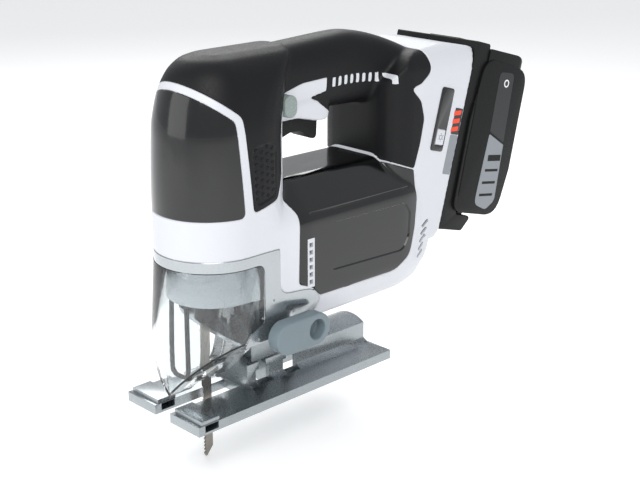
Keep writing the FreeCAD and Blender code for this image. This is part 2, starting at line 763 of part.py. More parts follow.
def make_gears():
    """Pinion on the motor shaft, crank gear with its pin and balance weight, and the fixed pin."""
    front, face_wide = size("gear_front"), size("gear_face")
    teeth = int(size("gear_teeth"))
    gap = size("fit_gap")
    gear = toothed(teeth, math.pi / teeth).extrude(V(face_wide, 0, 0))
    gear.Placement = FreeCAD.Placement(V(front, 0, gear_z()), FreeCAD.Rotation())
    gear = gear.cut(axle(0, gear_z(), size("bearing_outer") - 3, front - 1, front + face_wide + 1))
    throw = size("stroke") / 2
    feature("crank_gear", gear)
    yoke_back = size("stem_x") + YOKE_BACK
    pin = axle(0, gear_z() + throw, 3.9, yoke_back + size("pin_short"), front)
    feature("crank_pin", pin)
    weight = axle(0, gear_z(), 23, front - 2.6, front).cut(axle(0, gear_z(), 12.5, front - 3, front + 1))
    feature("balance_weight", weight.common(slab(-60, 0, -30, 30, 60, gear_z() - 4)))
    feature("gear_bearing", axle(0, gear_z(), size("bearing_outer") - 3, front, front + face_wide)
            .cut(axle(0, gear_z(), size("pin_radius") + gap, front - 1, front + face_wide + 1)))
    feature("gear_pin", axle(0, gear_z(), size("pin_radius"), front, size("case_back") + 6))


def pinion_teeth():
    """Teeth cut in the nose of the motor shaft."""
    teeth = toothed(int(size("pinion_teeth")), 0).extrude(V(size("gear_face") + 1, 0, 0))
    teeth.Placement = FreeCAD.Placement(V(size("gear_front") - 0.5, 0, size("motor_z")), FreeCAD.Rotation())
    return teeth


def make_motor():
    """Brushed motor: shaft, armature, commutator and fan turn inside can and magnets."""
    z, y = "Sizes.motor_z", "0"
    front, long = size("can_front"), size("can_long")
    mz = size("motor_z")
    shaft = axle(0, mz, 2.6, size("gear_front") - 0.5, size("case_back") - 1)
    shaft = shaft.fuse([pinion_teeth(), axle(0, mz, size("shaft_radius"), size("case_back") - 1,
                                             front + long + 18)])
    feature("motor_shaft", shaft)
    node(ring("core", "17", "Sizes.shaft_radius", "38", ("Sizes.can_front + 14", y, z), "X"),
         "armature_core")
    ends = [ring("wind_front", "15", "Sizes.shaft_radius", "7", ("Sizes.can_front + 6.5", y, z), "X"),
            ring("wind_back", "15", "Sizes.shaft_radius", "7", ("Sizes.can_front + 52.5", y, z), "X")]
    node(group("windings", *ends), "armature_windings")
    node(ring("segments", "9", "Sizes.shaft_radius", "9",
              ("Sizes.can_front + Sizes.can_long + 1", y, z), "X"), "commutator")
    can = axle(0, mz, size("can_radius"), front, front + long)
    can = can.cut(axle(0, mz, size("can_radius") - size("can_wall"), front + 2, front + long + 1))
    can = can.cut(axle(0, mz, 16, front - 1, front + 3))
    feature("motor_can", can)
    arcs = axle(0, mz, size("can_radius") - size("can_wall"), front + 12, front + 54)
    arcs = arcs.cut(axle(0, mz, 17 + size("air_gap"), front, front + 60))
    arcs = arcs.cut(slab(0, 100, -30, 30, mz - 6, mz + 6))
    feature("motor_magnets", arcs)
    holder = axle(0, mz, size("can_radius"), front + long, front + long + 12)
    holder = holder.cut(axle(0, mz, 10, front + long - 1, front + long + 13))
    for side in (-1, 1):
        holder = holder.cut(slab(front + long + 2, front + long + 9, min(side * 8, side * 22),
                                 max(side * 8, side * 22), mz - 3.2, mz + 3.2))
    end_cap = axle(0, mz, size("can_radius"), front + long + 12, front + long + 19)
    end_cap = end_cap.cut(axle(0, mz, size("bearing_outer"), front + long + 11, front + long + 20))
    feature("brush_holder", holder.fuse(end_cap).removeSplitter())
    brushes = [slab(front + long + 2.2, front + long + 8.8, min(side * 9.3, side * 17),
                    max(side * 9.3, side * 17), mz - 3, mz + 3) for side in (-1, 1)]
    feature("carbon_brushes", Part.makeCompound(brushes))
    springs = [ring(f"brush_spring{i}", "2.4", "1.6", "4.6",
                    ("Sizes.can_front + Sizes.can_long + 5.5", str(y0), z), "Y")
               for i, y0 in enumerate((-21.7, 17.1))]
    node(group("brush_springs_pair", *springs), "brush_springs")
    bearings = []
    for i, x in enumerate(("Sizes.case_back + 1", "Sizes.can_front + Sizes.can_long + 12")):
        bearings.append(ring(f"bearing{i}", "Sizes.bearing_outer", "Sizes.shaft_radius + Sizes.fit_gap",
                             "Sizes.bearing_wide", (x, y, z), "X"))
    node(group("shaft_bearings", *bearings), "motor_bearings")
    make_fan(mz)


def make_fan(mz):
    """Cooling fan with eleven straight blades on a disc."""
    front = -6
    hub = axle(0, mz, 8, front, front + 10)
    disc = axle(0, mz, size("fan_radius"), front + 8.6, front + 10)
    blades = []
    for count in range(11):
        blade = slab(front + 1.5, front + 9, -0.8, 0.8, 7, size("fan_radius") - 0.5)
        blade.rotate(V(0, 0, 0), X_AXIS, 360 * count / 11)
        blade.translate(V(0, 0, mz))
        blades.append(blade)
    fan = hub.fuse([disc] + blades).cut(axle(0, mz, size("shaft_radius"), front - 1, front + 12))
    feature("cooling_fan", fan)


# --- controls and electrics -----------------------------------------------------------------

def make_trigger():
    """Squeeze trigger with a hollowed finger face, its return spring and the switch above it."""
    front, back, half = size("trigger_front"), size("trigger_back"), size("trigger_half")
    side = [(front, 164.5, 2), (front + 10, 167.5, 14), (front + 20, 166.5, 14), (back - 5, 160, 4),
            (back - 1, 160.5, 2.5), (back, 182, 2), (front, 182, 2)]
    trigger = side_prism(side, half)
    trigger = trigger.cut(slab(front + 2.5, back - 2.5, -half + 2.2, half - 2.2, 172, 183))
    stem = slab(20, 28, -3, 3, 171, 186.5)
    feature("trigger", trigger.fuse(stem))
    node(ring("return_coil", "3.4", "2.6", "17.8", ("14", "0", "172.1")), "trigger_spring")
    feature("switch_body", slab(9, 42, -8.4, 8.4, 191.6, 211))
    feature("lock_button", in_lock_place(5.2, 7, size("lock_reach")))
    feature("lamp_lens", beam(-60, 16, 2.6, size("case_low") - 6, size("case_low")))


def make_wire_guard():
    """Bent steel rod in front of the blade."""
    x, y, low, top, bend = -69.5, 8, 24.5, size("case_low"), 5
    path = Part.Wire([
        Part.LineSegment(V(x, -y, top), V(x, -y, low + bend)).toShape(),
        Part.Arc(V(x, -y, low + bend), V(x, -y + bend * 0.2929, low + bend * 0.2929),
                 V(x, -y + bend, low)).toShape(),
        Part.LineSegment(V(x, -y + bend, low), V(x, y - bend, low)).toShape(),
        Part.Arc(V(x, y - bend, low), V(x, y - bend * 0.2929, low + bend * 0.2929),
                 V(x, y, low + bend)).toShape(),
        Part.LineSegment(V(x, y, low + bend), V(x, y, top)).toShape(),
    ])
    section = Part.Wire(Part.Circle(V(x, -y, top), Z_AXIS, 1.5).toShape())
    guard = path.makePipeShell([section], True, False)
    feature("wire_guard", guard)


def make_knob():
    """Orbital selector: an oblong knob with a thumb recess, and its cam shaft."""
    x, z = size("knob_x"), size("knob_z")
    half_long, half_wide, out = size("knob_long") / 2, size("knob_wide") / 2, size("knob_out")
    corners = oblong(x - half_long, x + half_long, z - half_wide, z + half_wide, half_wide - 0.1)
    knob = Part.Face(rounded(corners, 0, lambda a, b: V(a, -out, b))).extrude(V(0, size("knob_deep"), 0))
    knob = knob.cut(pillar(x + 11.5, z, 6.6, -out - 1, -out + 8))
    knob = knob.cut(pillar(x, z, 3, -out + 5, 0))
    feature("orbital_knob", knob)
    shaft = pillar(x, z, 3, -out + 5, -36).fuse(pillar(x, z, 4, -36, 12))
    feature("orbital_cam", shaft)


def make_electrics():
    """Speed control board, terminal block and the panel with the lamp button."""
    feature("controller_board", slab(112, 113.6, -24, 24, 62, 100))
    feature("terminal_block", in_pack_frame(slab(-18, -7, -14, 14, -34, -4)))
    panel = in_pack_frame(slab(-25.9, -14.3, -38.3, -36.4, -3.9, 38.9))
    hole = in_pack_frame(slab(-24.6, -16, -45, -30, -0.1, 10.6))
    feature("control_panel", panel.cut(hole))
    feature("light_button", in_pack_frame(slab(-24.3, -16.3, -38.9, -35.2, 0.2, 10.3)))


# --- battery --------------------------------------------------------------------------------

def pack_body(inset, front, back):
    """Rounded pack form between two depths, in the battery's frame."""
    half, low, top = size("pack_half"), size("pack_low"), size("pack_top")
    side = [(front, low, 2), (back, low, 14), (back, top, 14), (front, top, 2)]
    form = side_prism(side, half - inset, inset)
    plan = plan_prism(oblong(front - 10, back, -half, half, 1, 10), low - 10, top + 10, inset)
    return form.common(plan)


def make_battery():
    """Slide-on pack: case, front cover with rails, cells, board, contacts and release button."""
    deep, wall = size("pack_deep"), size("pack_wall")
    split = 16
    case = pack_body(0, split, deep).cut(pack_body(wall, split - 10, deep))
    case = case.cut(release_room())
    feature("battery_case", in_pack_frame(case))
    foot = size("foot_low")
    side = [(0.4, foot, 1), (26, foot, 3), (34, foot + 11, 2), (split, foot + 11.5, 2), (split, 74, 2),
            (0.4, 74, 1)]
    cover = side_prism(side, size("pack_half") - 1)
    cover = cover.cut(side_prism([(3, -40, 1), (split + 5, -40, 1), (split + 5, 66, 1), (3, 66, 1)], 31))
    rails = slab(-size("rail_deep"), 0.5, -size("rail_half"), size("rail_half"), -42, 68)
    rails = rails.cut(slab(-3, 0.6, -30, -size("rail_half") + 3, -60, 80))
    rails = rails.cut(slab(-3, 0.6, size("rail_half") - 3, 30, -60, 80))
    cover = cover.fuse(rails).cut(slab(-8, 5, -13, 13, -50, 10)).cut(release_room())
    feature("battery_cover", in_pack_frame(cover))
    cells = []
    radius, long = size("cell_radius"), size("cell_long")
    for row in range(5):
        for layer in range(2):
            centre = (27.5 + layer * 19, -31 + row * 20.5)
            cells.append(pillar(*centre, radius, -long / 2, long / 2))
    feature("battery_cells", in_pack_frame(Part.makeCompound(cells)))
    board = slab(11, 12.6, -26, 26, -36, 50)
    tabs = [slab(-4, 11, y - 0.5, y + 0.5, -28, -10) for y in (-8, 0, 8)]
    feature("battery_board", in_pack_frame(board.fuse(tabs)))
    feature("battery_release", in_pack_frame(slab(9, 33, -14, 14, 67.5, 75).fuse(
        slab(11, 31, -12, 12, 64, 68))))


def release_room():
    """Well in the top of the pack that the release button works in."""
    return slab(8.6, 33.4, -14.4, 14.4, 63.5, 90)


# --- sole -----------------------------------------------------------------------------------

def make_sole():
    """Forked cast sole with its round saddle, fence slot and nose pads."""
    plate = doc.addObject("PartDesign::Body", "SolePlate")
    outline = sketch(plate, "XY_Plane", "SoleOutline")
    back, half = "Sizes.sole_length / 2", "Sizes.sole_width / 2"
    slot, end = "Sizes.slot_half", "Sizes.slot_end"
    draw_loop(outline, [("-" + back, "-" + half), (back, "-" + half), (back, half), ("-" + back, half),
                        ("-" + back, slot), (end, slot), (end, "-" + slot), ("-" + back, "-" + slot)])
    pad = plate.newObject("PartDesign::Pad", "SolePad")
    pad.Profile = outline
    bind(pad, Length="Sizes.sole_thick")
    doc.recompute()
    hump = doc.addObject("PartDesign::Body", "SaddleSlope")
    slope = sketch(hump, "YZ_Plane", "SlopeSection")
    draw_loop(slope, [("-Sizes.saddle_half - 6", "1"), ("Sizes.saddle_half + 6", "1"),
                      ("Sizes.saddle_half + 6", "Sizes.sole_thick"), ("Sizes.saddle_half", "10"),
                      ("-Sizes.saddle_half", "10"), ("-Sizes.saddle_half - 6", "Sizes.sole_thick")])
    swell = hump.newObject("PartDesign::Pad", "SlopePad")
    swell.Profile = slope
    bind(swell, Length="Sizes.saddle_back - Sizes.saddle_front")
    hump.Placement.Base = V(0, 0, 0)
    hump.setExpression("Placement.Base.x", "Sizes.saddle_front")
    doc.recompute()

    long = "Sizes.saddle_back - Sizes.saddle_front"
    arch = doc.addObject("Part::Common", "SaddleArch")
    arch.Base = rod("SaddleRound", "Sizes.saddle_radius", long, ("Sizes.saddle_front", "0", "0"), "X")
    arch.Tool = block("SaddleSides", long, "2 * Sizes.saddle_half", "Sizes.saddle_radius",
                      ("Sizes.saddle_front", "-Sizes.saddle_half", "1"))
    hollow = doc.addObject("Part::Common", "SaddleHollow")
    hollow.Base = rod("HollowRound", "Sizes.saddle_radius - Sizes.saddle_wall", long + " - 8",
                      ("Sizes.saddle_front + 4", "0", "0"), "X")
    hollow.Tool = block("HollowSides", long + " - 8", "2 * (Sizes.saddle_half - 3.5)",
                        "Sizes.saddle_radius + 1", ("Sizes.saddle_front + 4",
                                                    "-(Sizes.saddle_half - 3.5)", "-1"))
    pads = [block(f"NosePad{side}", "14", "Sizes.sole_width / 2 - Sizes.slot_half - 2", "Sizes.pad_top - 1",
                  ("-Sizes.sole_length / 2 + 3", low, "1"))
            for side, low in (("L", "-Sizes.sole_width / 2 + 1"), ("R", "Sizes.slot_half + 1"))]
    fence = block("FenceSlot", "Sizes.fence_wide", "Sizes.sole_width + 2", "Sizes.fence_tall",
                  ("Sizes.fence_front", "-Sizes.sole_width / 2 - 1", "Sizes.fence_low"))
    web = block("CrossWeb", "Sizes.web_wide", "60", "60", ("-Sizes.web_wide / 2", "-30", "-5"))
    tools = [cut("HollowBesideWeb", hollow, web), fence]
    for count, x in enumerate(BOLT_SPOTS):
        tools.append(block(f"BoltSlot{count}", "6", "40", "30", (str(x - 3), "-20", "9")))
        swing = doc.addObject("Part::Common", f"HeadRoom{count}")
        swing.Base = rod(f"HeadSweep{count}", "Sizes.saddle_radius - Sizes.saddle_wall", "11.6",
                         (str(x - 5.8), "0", "0"), "X")
        swing.Tool = block(f"HeadBand{count}", "11.6", "60", "30", (str(x - 5.8), "-30", "7"))
        tools.append(swing)
    whole = fuse("sole", plate, hump, arch, *pads)
    node(cut("sole_final", whole, *tools), "base_plate")

    bolts = []
    for x in BOLT_SPOTS:
        bolt = beam(x, 0, 2.5, 18, 43).fuse(beam(x, 0, 4.5, 14.6, 18))
        socket = Part.Face(Part.makePolygon([V(x + 2.3 * math.cos(math.pi * side / 3),
                                               2.3 * math.sin(math.pi * side / 3), 14)
                                             for side in range(7)])).extrude(V(0, 0, 2.8))
        bolts.append(bolt.cut(socket))
    feature("sole_bolts", Part.makeCompound(bolts))


def make_screws():
    """Housing screws, all the same, driven in from the right."""
    screws = []
    for x, z in SCREW_SPOTS:
        screw = pillar(x, z, 1.45, -8, 10).fuse(pillar(x, z, 3.4, 10, 12.4))
        screws.append(screw.cut(pillar(x, z, 1.4, 11.2, 13)))
    feature("housing_screws", Part.makeCompound(screws))


make_shells()
make_vents()
make_skirt()
make_chip_cover()
make_gear_case()
make_case_cover()
make_seat_bracket()
make_roller()
make_stem()
make_blade()
make_gears()
make_motor()
make_trigger()
make_wire_guard()
make_knob()
make_electrics()
make_battery()
make_sole()
make_screws()
doc.recompute()

for item in doc.Objects:
    broken = {"Invalid", "Error"} & set(item.State)
    assert not broken, f"{item.Name} failed to recompute"
for item in NODES:
    assert not item.Shape.isNull() and item.Shape.isValid(), f"{item.Label} has no sound shape"
for item in NODES:
    item.Shape.exportStep(f"parts/{item.Label}.step")
    box = item.Shape.BoundBox
    print(f"{item.Label:20s} solids {len(item.Shape.Solids):2d} volume {item.Shape.Volume / 1000:8.2f} "
          f"x {box.XMin:7.1f} {box.XMax:7.1f} y {box.YMin:6.1f} {box.YMax:6.1f} "
          f"z {box.ZMin:6.1f} {box.ZMax:6.1f}")
print(len(NODES), "nodes")
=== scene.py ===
"""Cordless D-handle jigsaw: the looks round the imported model.

Shapes are worked out in millimetres in the row frame: X to the rear, Y to the tool's right, Z up from the
sole's underside.  They turn to metres once, when a mesh is made.
"""

import math

import bmesh
import bpy
import numpy as np
from mathutils import Euler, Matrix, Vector
from mathutils.bvhtree import BVHTree


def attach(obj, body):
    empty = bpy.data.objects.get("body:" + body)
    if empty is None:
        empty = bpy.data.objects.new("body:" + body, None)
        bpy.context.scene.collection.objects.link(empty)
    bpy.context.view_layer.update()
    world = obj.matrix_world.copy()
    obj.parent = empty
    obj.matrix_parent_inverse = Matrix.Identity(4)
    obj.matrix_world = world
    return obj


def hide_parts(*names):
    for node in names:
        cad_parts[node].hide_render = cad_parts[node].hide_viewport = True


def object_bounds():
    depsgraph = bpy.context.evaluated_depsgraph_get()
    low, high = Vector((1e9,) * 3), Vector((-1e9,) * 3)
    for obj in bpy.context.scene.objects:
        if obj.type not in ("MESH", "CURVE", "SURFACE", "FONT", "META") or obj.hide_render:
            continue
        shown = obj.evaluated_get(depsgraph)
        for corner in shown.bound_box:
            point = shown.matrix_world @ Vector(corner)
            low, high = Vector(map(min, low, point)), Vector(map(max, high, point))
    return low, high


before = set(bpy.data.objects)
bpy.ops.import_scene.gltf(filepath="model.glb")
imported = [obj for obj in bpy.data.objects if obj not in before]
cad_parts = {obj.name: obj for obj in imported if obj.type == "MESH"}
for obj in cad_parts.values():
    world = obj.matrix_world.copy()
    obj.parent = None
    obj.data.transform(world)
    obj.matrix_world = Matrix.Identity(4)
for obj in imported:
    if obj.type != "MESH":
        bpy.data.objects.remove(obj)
cad_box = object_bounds()

MM = 0.001
SHARP = math.radians(32)


# --- materials ------------------------------------------------------------------------------

def linear(hex_colour, alpha=1.0):
    """An sRGB hex colour as linear red, green, blue and alpha."""
    parts = [int(hex_colour[i:i + 2], 16) / 255 for i in (1, 3, 5)]
    return [c / 12.92 if c <= 0.04045 else ((c + 0.055) / 1.055) ** 2.4 for c in parts] + [alpha]


def add_node(tree, kind, settings=None, inputs=None):
    """Adds a node; settings are its properties, inputs its values or the sockets that feed it."""
    made = tree.nodes.new(kind)
    for key, value in (settings or {}).items():
        setattr(made, key, value)
    for key, value in (inputs or {}).items():
        if isinstance(value, bpy.types.NodeSocket):
            tree.links.new(value, made.inputs[key])
        else:
            made.inputs[key].default_value = value
    return made


def per_mm(size_mm):
    """Noise scale, in object coordinates, whose features are about this size."""
    return 1 / (size_mm * MM)


def surface(name, hex_colour, rough, metallic=0.0, grain_mm=0.6, grain_depth_mm=0.01, tone=0.06,
            tone_mm=18, rough_swing=0.08, stretch=(1, 1, 1), **constants):
    """Solid surface: tone drifts over tone_mm, grain of grain_mm gives the bump and the sheen."""
    material = bpy.data.materials.new(name)
    material.use_nodes = True
    tree = material.node_tree
    tree.nodes.clear()
    place = add_node(tree, "ShaderNodeTexCoord")
    run = add_node(tree, "ShaderNodeMapping", inputs={"Vector": place.outputs["Object"], "Scale": stretch})
    drift = add_node(tree, "ShaderNodeTexNoise", inputs={
        "Vector": place.outputs["Object"], "Scale": per_mm(tone_mm), "Detail": 3.0})
    grain = add_node(tree, "ShaderNodeTexNoise", inputs={
        "Vector": run.outputs["Vector"], "Scale": per_mm(grain_mm), "Detail": 2.0})
    full = linear(hex_colour)
    dark = [c * (1 - tone) for c in full[:3]] + [1]
    light = [min(1, c * (1 + tone)) for c in full[:3]] + [1]
    colour = add_node(tree, "ShaderNodeMix", {"data_type": "RGBA"})
    tree.links.new(drift.outputs["Fac"], colour.inputs["Factor"])
    colour.inputs[6].default_value = dark
    colour.inputs[7].default_value = light
    sheen = add_node(tree, "ShaderNodeMapRange", inputs={
        "Value": grain.outputs["Fac"], "From Min": 0.3, "From Max": 0.7,
        "To Min": max(0.02, rough - rough_swing), "To Max": min(1.0, rough + rough_swing)})
    bump = add_node(tree, "ShaderNodeBump", inputs={
        "Height": grain.outputs["Fac"], "Strength": 0.6, "Distance": grain_depth_mm * MM})
    shader = add_node(tree, "ShaderNodeBsdfPrincipled", inputs={
        "Base Color": colour.outputs[2], "Roughness": sheen.outputs["Result"],
        "Normal": bump.outputs["Normal"], "Metallic": metallic, **constants})
    add_node(tree, "ShaderNodeOutputMaterial", inputs={"Surface": shader.outputs["BSDF"]})
    material.diffuse_color = full
    return material


def clear_surface(name, hex_colour, rough, ior):
    """Clear moulding: lets light through, with a faint flow ripple in its surface."""
    material = bpy.data.materials.new(name)
    material.use_nodes = True
    tree = material.node_tree
    tree.nodes.clear()
    place = add_node(tree, "ShaderNodeTexCoord")
    ripple = add_node(tree, "ShaderNodeTexNoise", inputs={
        "Vector": place.outputs["Object"], "Scale": per_mm(14), "Detail": 1.0})
    bump = add_node(tree, "ShaderNodeBump", inputs={
        "Height": ripple.outputs["Fac"], "Strength": 0.25, "Distance": 0.2 * MM})
    shader = add_node(tree, "ShaderNodeBsdfPrincipled", inputs={
        "Base Color": linear(hex_colour), "Roughness": rough, "IOR": ior, "Transmission Weight": 1.0,
        "Normal": bump.outputs["Normal"]})
    add_node(tree, "ShaderNodeOutputMaterial", inputs={"Surface": shader.outputs["BSDF"]})
    material.diffuse_color = linear(hex_colour, 0.35)
    return material


# Rubber and textured nylon reflect less than a polished plastic.
DULL = {"Specular IOR Level": 0.3}

# White ABS, moulded against a finely etched tool: soft highlights and a barely uneven tone.
WHITE_ABS = surface("white_abs_moulded", "#D6D8DD", 0.34, grain_mm=0.7, grain_depth_mm=0.006, tone=0.015)
# Black thermoplastic rubber moulded over the shell: satin, with a fine leathery grain.
SOFT_GRIP = surface("black_tpe_overmould", "#0B0C0E", 0.5, grain_mm=0.8, grain_depth_mm=0.02, tone=0.15,
                    **DULL)
# Black ABS from a polished tool: sharp reflections.
GLOSS_ABS = surface("black_abs_polished", "#060708", 0.16, grain_mm=9, grain_depth_mm=0.01, tone=0.1,
                    rough_swing=0.03, **{"Coat Weight": 0.4, "Coat Roughness": 0.06})
# Black glass-filled nylon: dull and slightly mottled.
BLACK_NYLON = surface("black_nylon_textured", "#0A0B0C", 0.5, grain_mm=0.9, grain_depth_mm=0.02, tone=0.2,
                      **DULL)
# Die-cast aluminium, shot-blasted: even, finely pebbled, soft reflections.
CAST_ALUMINIUM = surface("aluminium_die_cast", "#A4AAAD", 0.3, 1.0, grain_mm=0.8, grain_depth_mm=0.012)
# Silver-painted die casting: smoother than bare metal, flake shows as a fine change in sheen.
SILVER_PAINT = surface("silver_painted_casting", "#B3B8BB", 0.22, 0.9, grain_mm=0.5,
                       grain_depth_mm=0.004, **{"Coat Weight": 0.3, "Coat Roughness": 0.12})
# Ground steel: fine lines along the tool.
GROUND_STEEL = surface("steel_ground", "#A7A8A8", 0.28, 1.0, grain_mm=0.8, stretch=(0.08, 1, 1))
# Steel blacked in a hot bath: dark, slightly oily.
BLACK_STEEL = surface("steel_blacked", "#2A2B2D", 0.33, 1.0, grain_mm=1.5)
# Blade stock: rolled steel with lines along the blade and a straw tint from hardening.
BLADE_STEEL = surface("steel_blade_rolled", "#8F8A84", 0.32, 1.0, tone=0.18, tone_mm=9,
                      grain_mm=0.7, stretch=(1, 1, 0.06))
# Grey glass-filled nylon of the selector.
KNOB_NYLON = surface("grey_nylon_moulded", "#76848A", 0.42, grain_mm=0.8, grain_depth_mm=0.012)
# Grey-green acetal of the lock button.
BUTTON_ACETAL = surface("grey_acetal_moulded", "#8A9692", 0.25, grain_mm=1.2, grain_depth_mm=0.005)
# Sintered bronze of the bushes.
BRONZE = surface("bronze_sintered", "#A9793F", 0.42, 1.0, grain_mm=0.5)
# Enamelled copper wire and segments.
COPPER = surface("copper_enamelled", "#B4643A", 0.3, 1.0, grain_mm=0.6, stretch=(0.2, 1, 1))
# Pressed ferrite.
FERRITE = surface("ferrite_pressed", "#2B2B2E", 0.7, grain_mm=0.6)
# Circuit board under its solder mask.
BOARD = surface("board_solder_mask", "#0F4A2A", 0.3, grain_mm=2.0)
# Shrink wrap on the cells.
CELL_WRAP = surface("cell_shrink_wrap", "#2C5F8F", 0.3, grain_mm=3.0)
# The same nylon with a finer grain, painted lighter: the lighter colour is a painted sheen where the strip
# catches the light.
SHEEN_NYLON = surface("black_nylon_painted_sheen", "#1D1F22", 0.38, grain_mm=0.4, grain_depth_mm=0.01)
# Inks and vinyl of the printed marks.
INK_ORANGE = surface("vinyl_ink_orange", "#F04A23", 0.4, grain_mm=1.5)
INK_GREY = surface("vinyl_ink_grey", "#8B9095", 0.4, grain_mm=1.5)
INK_WHITE = surface("vinyl_ink_white", "#ECEDEF", 0.4, grain_mm=1.5, tone=0.02)
# Clear polycarbonate of the dust cover, and the acrylic lamp lens.
CLEAR_PC = clear_surface("polycarbonate_clear", "#F4F8F9", 0.03, 1.585)
LAMP_ACRYLIC = clear_surface("acrylic_lens", "#FFFFFF", 0.05, 1.49)

NODE_FINISH = {
    CAST_ALUMINIUM: ("base_plate", "seat_bracket", "gear_case_cover"),
    SILVER_PAINT: ("gear_case", "gear_skirt"),
    GROUND_STEEL: ("plunger", "yoke", "crank_gear", "crank_pin", "balance_weight", "gear_pin",
                   "motor_shaft", "roller_pin", "arm_pin", "motor_bearings", "guide_roller",
                   "roller_arm", "orbital_cam", "armature_core", "brush_springs", "trigger_spring"),
    BLACK_STEEL: ("wire_guard", "blade_clamp", "clamp_collar", "sole_bolts", "housing_screws",
                  "motor_can"),
    BLADE_STEEL: ("blade",),
    BRONZE: ("plunger_bushes", "gear_bearing"),
    COPPER: ("armature_windings", "commutator"),
    FERRITE: ("motor_magnets", "carbon_brushes"),
    BOARD: ("controller_board", "battery_board"),
    CELL_WRAP: ("battery_cells",),
    KNOB_NYLON: ("orbital_knob",),
    BUTTON_ACETAL: ("lock_button",),
    WHITE_ABS: ("light_button", "vent_grilles", "housing_left", "housing_right"),
    BLACK_NYLON: ("trigger", "switch_body", "brush_holder", "cooling_fan", "terminal_block",
                  "battery_case", "battery_cover", "battery_release"),
    GLOSS_ABS: ("front_cover", "motor_panel_left", "motor_panel_right", "control_panel"),
    SOFT_GRIP: ("grip_left", "grip_right"),
    CLEAR_PC: ("chip_cover",),
    LAMP_ACRYLIC: ("lamp_lens",),
}


def paint_nodes():
    """Gives every CAD node its real material."""
    painted = set()
    for material, names in NODE_FINISH.items():
        for name in names:
            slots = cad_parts[name].data.materials
            slots.clear()
            slots.append(material)
            painted.add(name)
    assert painted == set(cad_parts), set(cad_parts) ^ painted


# --- mesh helpers ---------------------------------------------------------------------------

def new_piece(name, spots_mm, faces, material):
    """A mesh object from points in millimetres."""
    mesh = bpy.data.meshes.new(name)
    mesh.from_pydata([tuple(c * MM for c in spot) for spot in spots_mm], [], faces)
    mesh.update()
    piece = bpy.data.objects.new(name, mesh)
    bpy.context.scene.collection.objects.link(piece)
    if material:
        mesh.materials.append(material)
    return piece


def apply_all(piece):
    """Turns a piece and its modifiers into one plain mesh."""
    graph = bpy.context.evaluated_depsgraph_get()
    mesh = bpy.data.meshes.new_from_object(piece.evaluated_get(graph))
    old = piece.data
    piece.modifiers.clear()
    piece.data = mesh
    bpy.data.meshes.remove(old)
    return piece


def soften(piece, width_mm, segments=2, limit=SHARP):
    """Rounds the sharp edges and shades the rest smooth."""
    bevel = piece.modifiers.new("round", "BEVEL")
    bevel.width = width_mm * MM
    bevel.segments = segments
    bevel.limit_method = "ANGLE"
    bevel.angle_limit = limit
    apply_all(piece)
    return smooth(piece)


def smooth(piece, angle=SHARP):
    """Smooth shading that keeps edges sharper than the angle."""
    piece.data.shade_smooth()
    piece.data.set_sharp_from_angle(angle=angle)
    return piece


def finish(piece, body, slot_name, *replaced):
    """Rides the piece on its body and hides the nodes it stands for; the slot name is not used."""
    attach(piece, body)
    if replaced:
        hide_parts(*replaced)
    return piece


def cut_by(piece, *cutters, operation="DIFFERENCE"):
    """Boolean with each cutter, which is then removed."""
    for cutter in cutters:
        step = piece.modifiers.new("cut", "BOOLEAN")
        step.operation = operation
        step.solver = "EXACT"
        step.object = cutter
    apply_all(piece)
    for cutter in cutters:
        bpy.data.objects.remove(cutter)
    return piece


def arc_outline(corners, per_corner=7):
    """Closed outline of a polygon whose corners are (a, b, radius), each rounded by its own arc."""
    spots = []
    count = len(corners)
    for i, (a, b, radius) in enumerate(corners):
        here = np.array([a, b], float)
        back = np.array(corners[i - 1][:2], float) - here
        on = np.array(corners[(i + 1) % count][:2], float) - here
        reach_back, reach_on = np.linalg.norm(back), np.linalg.norm(on)
        back, on = back / reach_back, on / reach_on
        half = math.acos(float(np.clip(back @ on, -1, 1))) / 2
        cut = min(radius / max(math.tan(half), 1e-6), 0.49 * reach_back, 0.49 * reach_on)
        start, end = here + back * cut, here + on * cut
        for step in range(per_corner):
            t = step / (per_corner - 1)
            spots.append((1 - t) ** 2 * start + 2 * t * (1 - t) * here + t * t * end)
    return np.array(spots)


def on_side(a, b, y):
    """A spot of the side view, y across the tool."""
    return (a, y, b)


def prism(name, outline, low, high, to_space, material=None):
    """Solid between two depths from a flat outline; to_space places (a, b, depth)."""
    low, high = sorted((low, high))
    count = len(outline)
    spots = [to_space(a, b, low) for a, b in outline] + [to_space(a, b, high) for a, b in outline]
    faces = [tuple(range(count))[::-1], tuple(range(count, 2 * count))]
    faces += [(i, (i + 1) % count, count + (i + 1) % count, count + i) for i in range(count)]
    piece = new_piece(name, spots, faces, material)
    face_outwards(piece)
    return piece


def face_outwards(piece):
    """Recalculates the normals of a closed mesh."""
    mesh = bmesh.new()
    mesh.from_mesh(piece.data)
    bmesh.ops.remove_doubles(mesh, verts=mesh.verts, dist=1e-7)
    bmesh.ops.recalc_face_normals(mesh, faces=mesh.faces)
    mesh.to_mesh(piece.data)
    mesh.free()


def side_prism(name, corners, half, material=None):
    """Prism across the tool from an outline in the side view."""
    return prism(name, arc_outline(corners), -half, half, on_side, material)


def box_piece(name, low, high, material=None):
    """Plain block, for cutting only."""
    corners = [(low[0], low[1], 0), (high[0], low[1], 0), (high[0], high[1], 0), (low[0], high[1], 0)]
    return prism(name, arc_outline(corners, 2), low[2], high[2], lambda a, b, c: (a, b, c), material)


